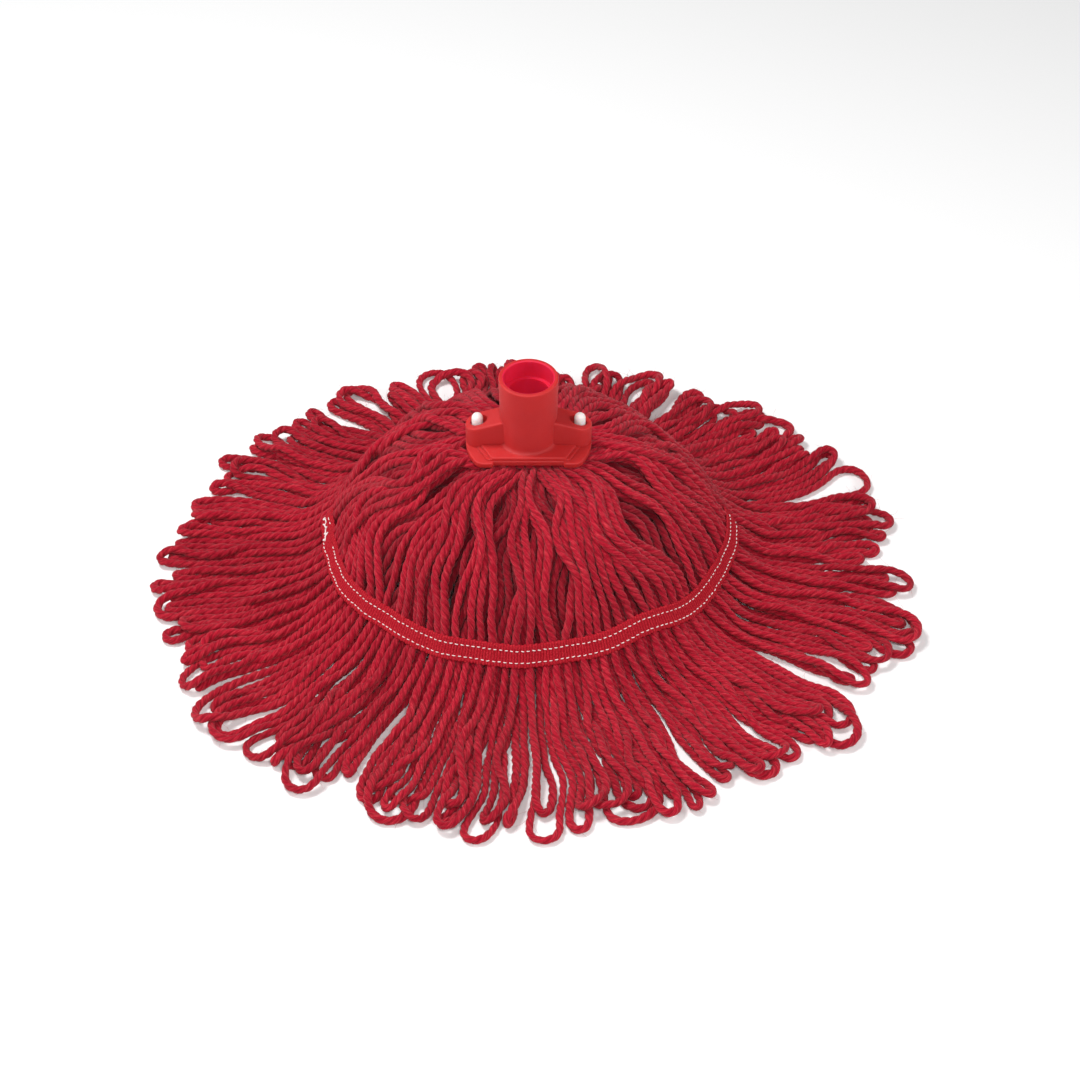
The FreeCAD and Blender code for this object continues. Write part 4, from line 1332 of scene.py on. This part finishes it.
def stitch_row(name, node, table, row, first, last, loose=()):
    """Dashes along a band at a place across, from a length first to a length last.

    Loose gives the lengths of single dashes that are left before the row starts.
    """
    angles, lengths = table
    middles = np.arange(first, last - stitch_pitch, stitch_pitch) + stitch_pitch / 2
    middles = np.concatenate([loose, middles])
    middles = middles + rng.normal(0, 0.00008, len(middles))
    t = np.linspace(-0.5, 0.5, 6)[None]
    s = middles[:, None] + t * dash_length * rng.uniform(0.92, 1.06, (len(middles), 1))
    off_row = rng.normal(0, 0.00009, (len(middles), 1))
    place = row + off_row + t * rng.normal(0, 0.0002, (len(middles), 1))
    height = 0.00100 - 0.00085 * (2 * np.abs(t)) ** 3 + 0 * s
    lines = on_tape(np.interp(s, lengths, angles), place, height)
    piece = yarn_tubes(name, lines, np.full(s.shape, thread_r), rng.random(len(s)), white_thread,
                       ring_points=6, groove_depth=0.1)
    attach(piece, root_body)
    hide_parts(node)
    print(name, len(middles), "dashes")


front_length, rear_length = front_table[1][-1], rear_table[1][-1]
stitch_row("stitch_row_front_inner", "stitches_front_inner", front_table, row_inner,
           0.0285, front_length - 0.002, loose=[0.0062, 0.0094])
stitch_row("stitch_row_front_outer", "stitches_front_outer", front_table, row_outer,
           0.019, front_length - 0.002)
stitch_row("stitch_row_rear_inner", "stitches_rear_inner", rear_table, row_inner,
           0.004, rear_length - 0.004)
stitch_row("stitch_row_rear_outer", "stitches_rear_outer", rear_table, row_outer,
           0.004, rear_length - 0.004)

# %% [markdown]
# ## The thread's end
# At the left end of the front band the sewing thread was cut off long. Its end is a few
# centimetres at most, lies crinkled along the tape and finishes in a small knot. A sum of sines
# makes the crinkle, and the last stretch of the line winds round one point for the knot.

# %% Thread end
t = np.linspace(0, 1, 70)[None]
tail_s = 0.0020 + 0.0165 * t + 0.0006 * np.sin(t * 31)
tail_place = 0.0006 + 0.0016 * t + 0.0011 * np.sin(t * 21 + 0.6) + 0.0006 * np.sin(t * 47)
tail_height = 0.0013 + 0.0004 * np.sin(t * 40)
knot = step(0.86, 0.90, t)
tail_s = tail_s * (1 - knot) + knot * (0.0187 + 0.0006 * np.cos(t * 110))
tail_place = tail_place * (1 - knot) + knot * (0.0026 + 0.0006 * np.sin(t * 110))
tail_line = on_tape(np.interp(tail_s, front_table[1], front_table[0]), tail_place, tail_height)
thread_end = yarn_tubes("thread_end", tail_line, np.full(t.shape, 0.00040), np.array([0.4]),
                        white_thread, ring_points=8, groove_depth=0.12)
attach(thread_end, root_body)
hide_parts("thread_tails")
tail_length = np.linalg.norm(np.diff(tail_line[0], axis=0), axis=1).sum()
print("thread end", round(float(tail_length) * 1000, 1), "mm long")


# %% [markdown]
# ## Plastic of the socket and the clamp
# The socket is moulded in a soft red plastic with a faint satin grain. The clamp's pegs are
# off-white nylon, a little waxy. Both keep their CAD shape. A mould leaves the same grain on
# both, so the grain is a node group: a slow drift for the colour and fine spots for gloss and
# relief.

# %% Group: moulded grain
def make_grain_group():
    """Slow drift and fine grain, 0 to 1, from a place."""
    group = bpy.data.node_groups.new("moulded_grain", "ShaderNodeTree")
    group.interface.new_socket(name="Place", in_out="INPUT", socket_type="NodeSocketVector")
    for name in ("Drift", "Grain"):
        group.interface.new_socket(name=name, in_out="OUTPUT", socket_type="NodeSocketFloat")
    nodes, links = group.nodes, group.links
    source = nodes.new("NodeGroupInput")
    result = nodes.new("NodeGroupOutput")
    drift = add(nodes, links, "ShaderNodeTexNoise",
                Vector=source.outputs["Place"], Scale=60.0, Detail=3.0)
    grain = add(nodes, links, "ShaderNodeTexNoise",
                Vector=source.outputs["Place"], Scale=1800.0, Detail=2.0)
    links.new(drift.outputs["Fac"], result.inputs["Drift"])
    links.new(grain.outputs["Fac"], result.inputs["Grain"])
    return group


grain_group = make_grain_group()
print("group", grain_group.name, "with", len(grain_group.nodes), "nodes")


# %% Plastics
def make_plastic(name, low, high, roughness, subsurface, grain_depth):
    """Moulded plastic: slow colour drift, fine grain in roughness and bump."""
    material, nodes, links, shader = new_material(name)
    place = nodes.new("ShaderNodeTexCoord")
    mould = nodes.new("ShaderNodeGroup")
    mould.node_tree = grain_group
    links.new(place.outputs["Object"], mould.inputs["Place"])
    colour = ramp(nodes, links, mould.outputs["Drift"], [(0.3, low), (0.7, high)])
    links.new(colour.outputs["Color"], shader.inputs["Base Color"])
    rough = add(nodes, links, "ShaderNodeMapRange",
                _0=mould.outputs["Grain"], _1=0.3, _2=0.7, _3=roughness - 0.06, _4=roughness + 0.06)
    links.new(rough.outputs[0], shader.inputs["Roughness"])
    shader.inputs["Specular IOR Level"].default_value = 0.32
    shader.inputs["Subsurface Weight"].default_value = subsurface
    shader.inputs["Subsurface Radius"].default_value = (0.009, 0.0012, 0.0008)
    shader.inputs["Subsurface Scale"].default_value = 1.0
    relief = add(nodes, links, "ShaderNodeBump", Strength=grain_depth, Distance=0.0001)
    links.new(mould.outputs["Grain"], relief.inputs["Height"])
    links.new(relief.outputs[0], shader.inputs["Normal"])
    return material


red_plastic = make_plastic("red_plastic", (0.455, 0.017, 0.018), (0.49, 0.021, 0.022),
                           roughness=0.56, subsurface=0.5, grain_depth=0.10)
white_nylon = make_plastic("white_nylon", (0.80, 0.70, 0.69), (0.84, 0.76, 0.74),
                           roughness=0.38, subsurface=0.2, grain_depth=0.06)
print("materials", red_plastic.name, white_nylon.name)

# %% [markdown]
# ## Inside the tube
# Soft plastic passes light on. In the narrow bore the light goes from wall to wall and comes out
# deeper red and brighter than on the outside. Many bounces would be slow to render, so the
# colour does it as painted light: points nearer to the axis than the rim's inner edge get a
# brighter red.


# %% Bore
def brighten_bore(material, bore_radius, colour):
    """Mixes in painted light, a brighter red, where the distance from the Z axis is below the bore's
    radius.
    """
    nodes, links = material.node_tree.nodes, material.node_tree.links
    shader = nodes["Principled BSDF"]
    outside = shader.inputs["Base Color"].links[0].from_socket
    place = nodes.new("ShaderNodeTexCoord")
    flat = add(nodes, links, "ShaderNodeVectorMath", {"operation": "MULTIPLY"},
               _0=place.outputs["Object"], _1=(1, 1, 0))
    away = add(nodes, links, "ShaderNodeVectorMath", {"operation": "LENGTH"}, _0=flat.outputs[0])
    mask = add(nodes, links, "ShaderNodeMapRange", _0=away.outputs["Value"],
               _1=bore_radius, _2=bore_radius + 0.0004, _3=1.0, _4=0.0)
    mixed = add(nodes, links, "ShaderNodeMix", {"data_type": "RGBA"})
    links.new(mask.outputs[0], mixed.inputs["Factor"])
    links.new(outside, mixed.inputs["A"])
    mixed.inputs["B"].default_value = colour
    links.new(mixed.outputs["Result"], shader.inputs["Base Color"])


socket_points = np.array([v.co for v in frame["nodes"]["handle_socket"].data.vertices])
rim_points = socket_points[socket_points[:, 2] > socket_points[:, 2].max() - 0.0003]
bore_radius = float(np.hypot(rim_points[:, 0], rim_points[:, 1]).min())
print("bore radius at the rim", round(bore_radius, 5))
# painted light: a brighter red stands in for light bouncing inside the bore
brighten_bore(red_plastic, bore_radius, (0.66, 0.011, 0.050, 1))


# %% Finishes on the CAD pieces
def dress(node, material):
    """Gives a CAD node its finish."""
    mesh = frame["nodes"][node].data
    mesh.materials.clear()
    mesh.materials.append(material)


dress("handle_socket", red_plastic)
dress("yarn_clamp", white_nylon)
print("dressed the socket and the clamp")
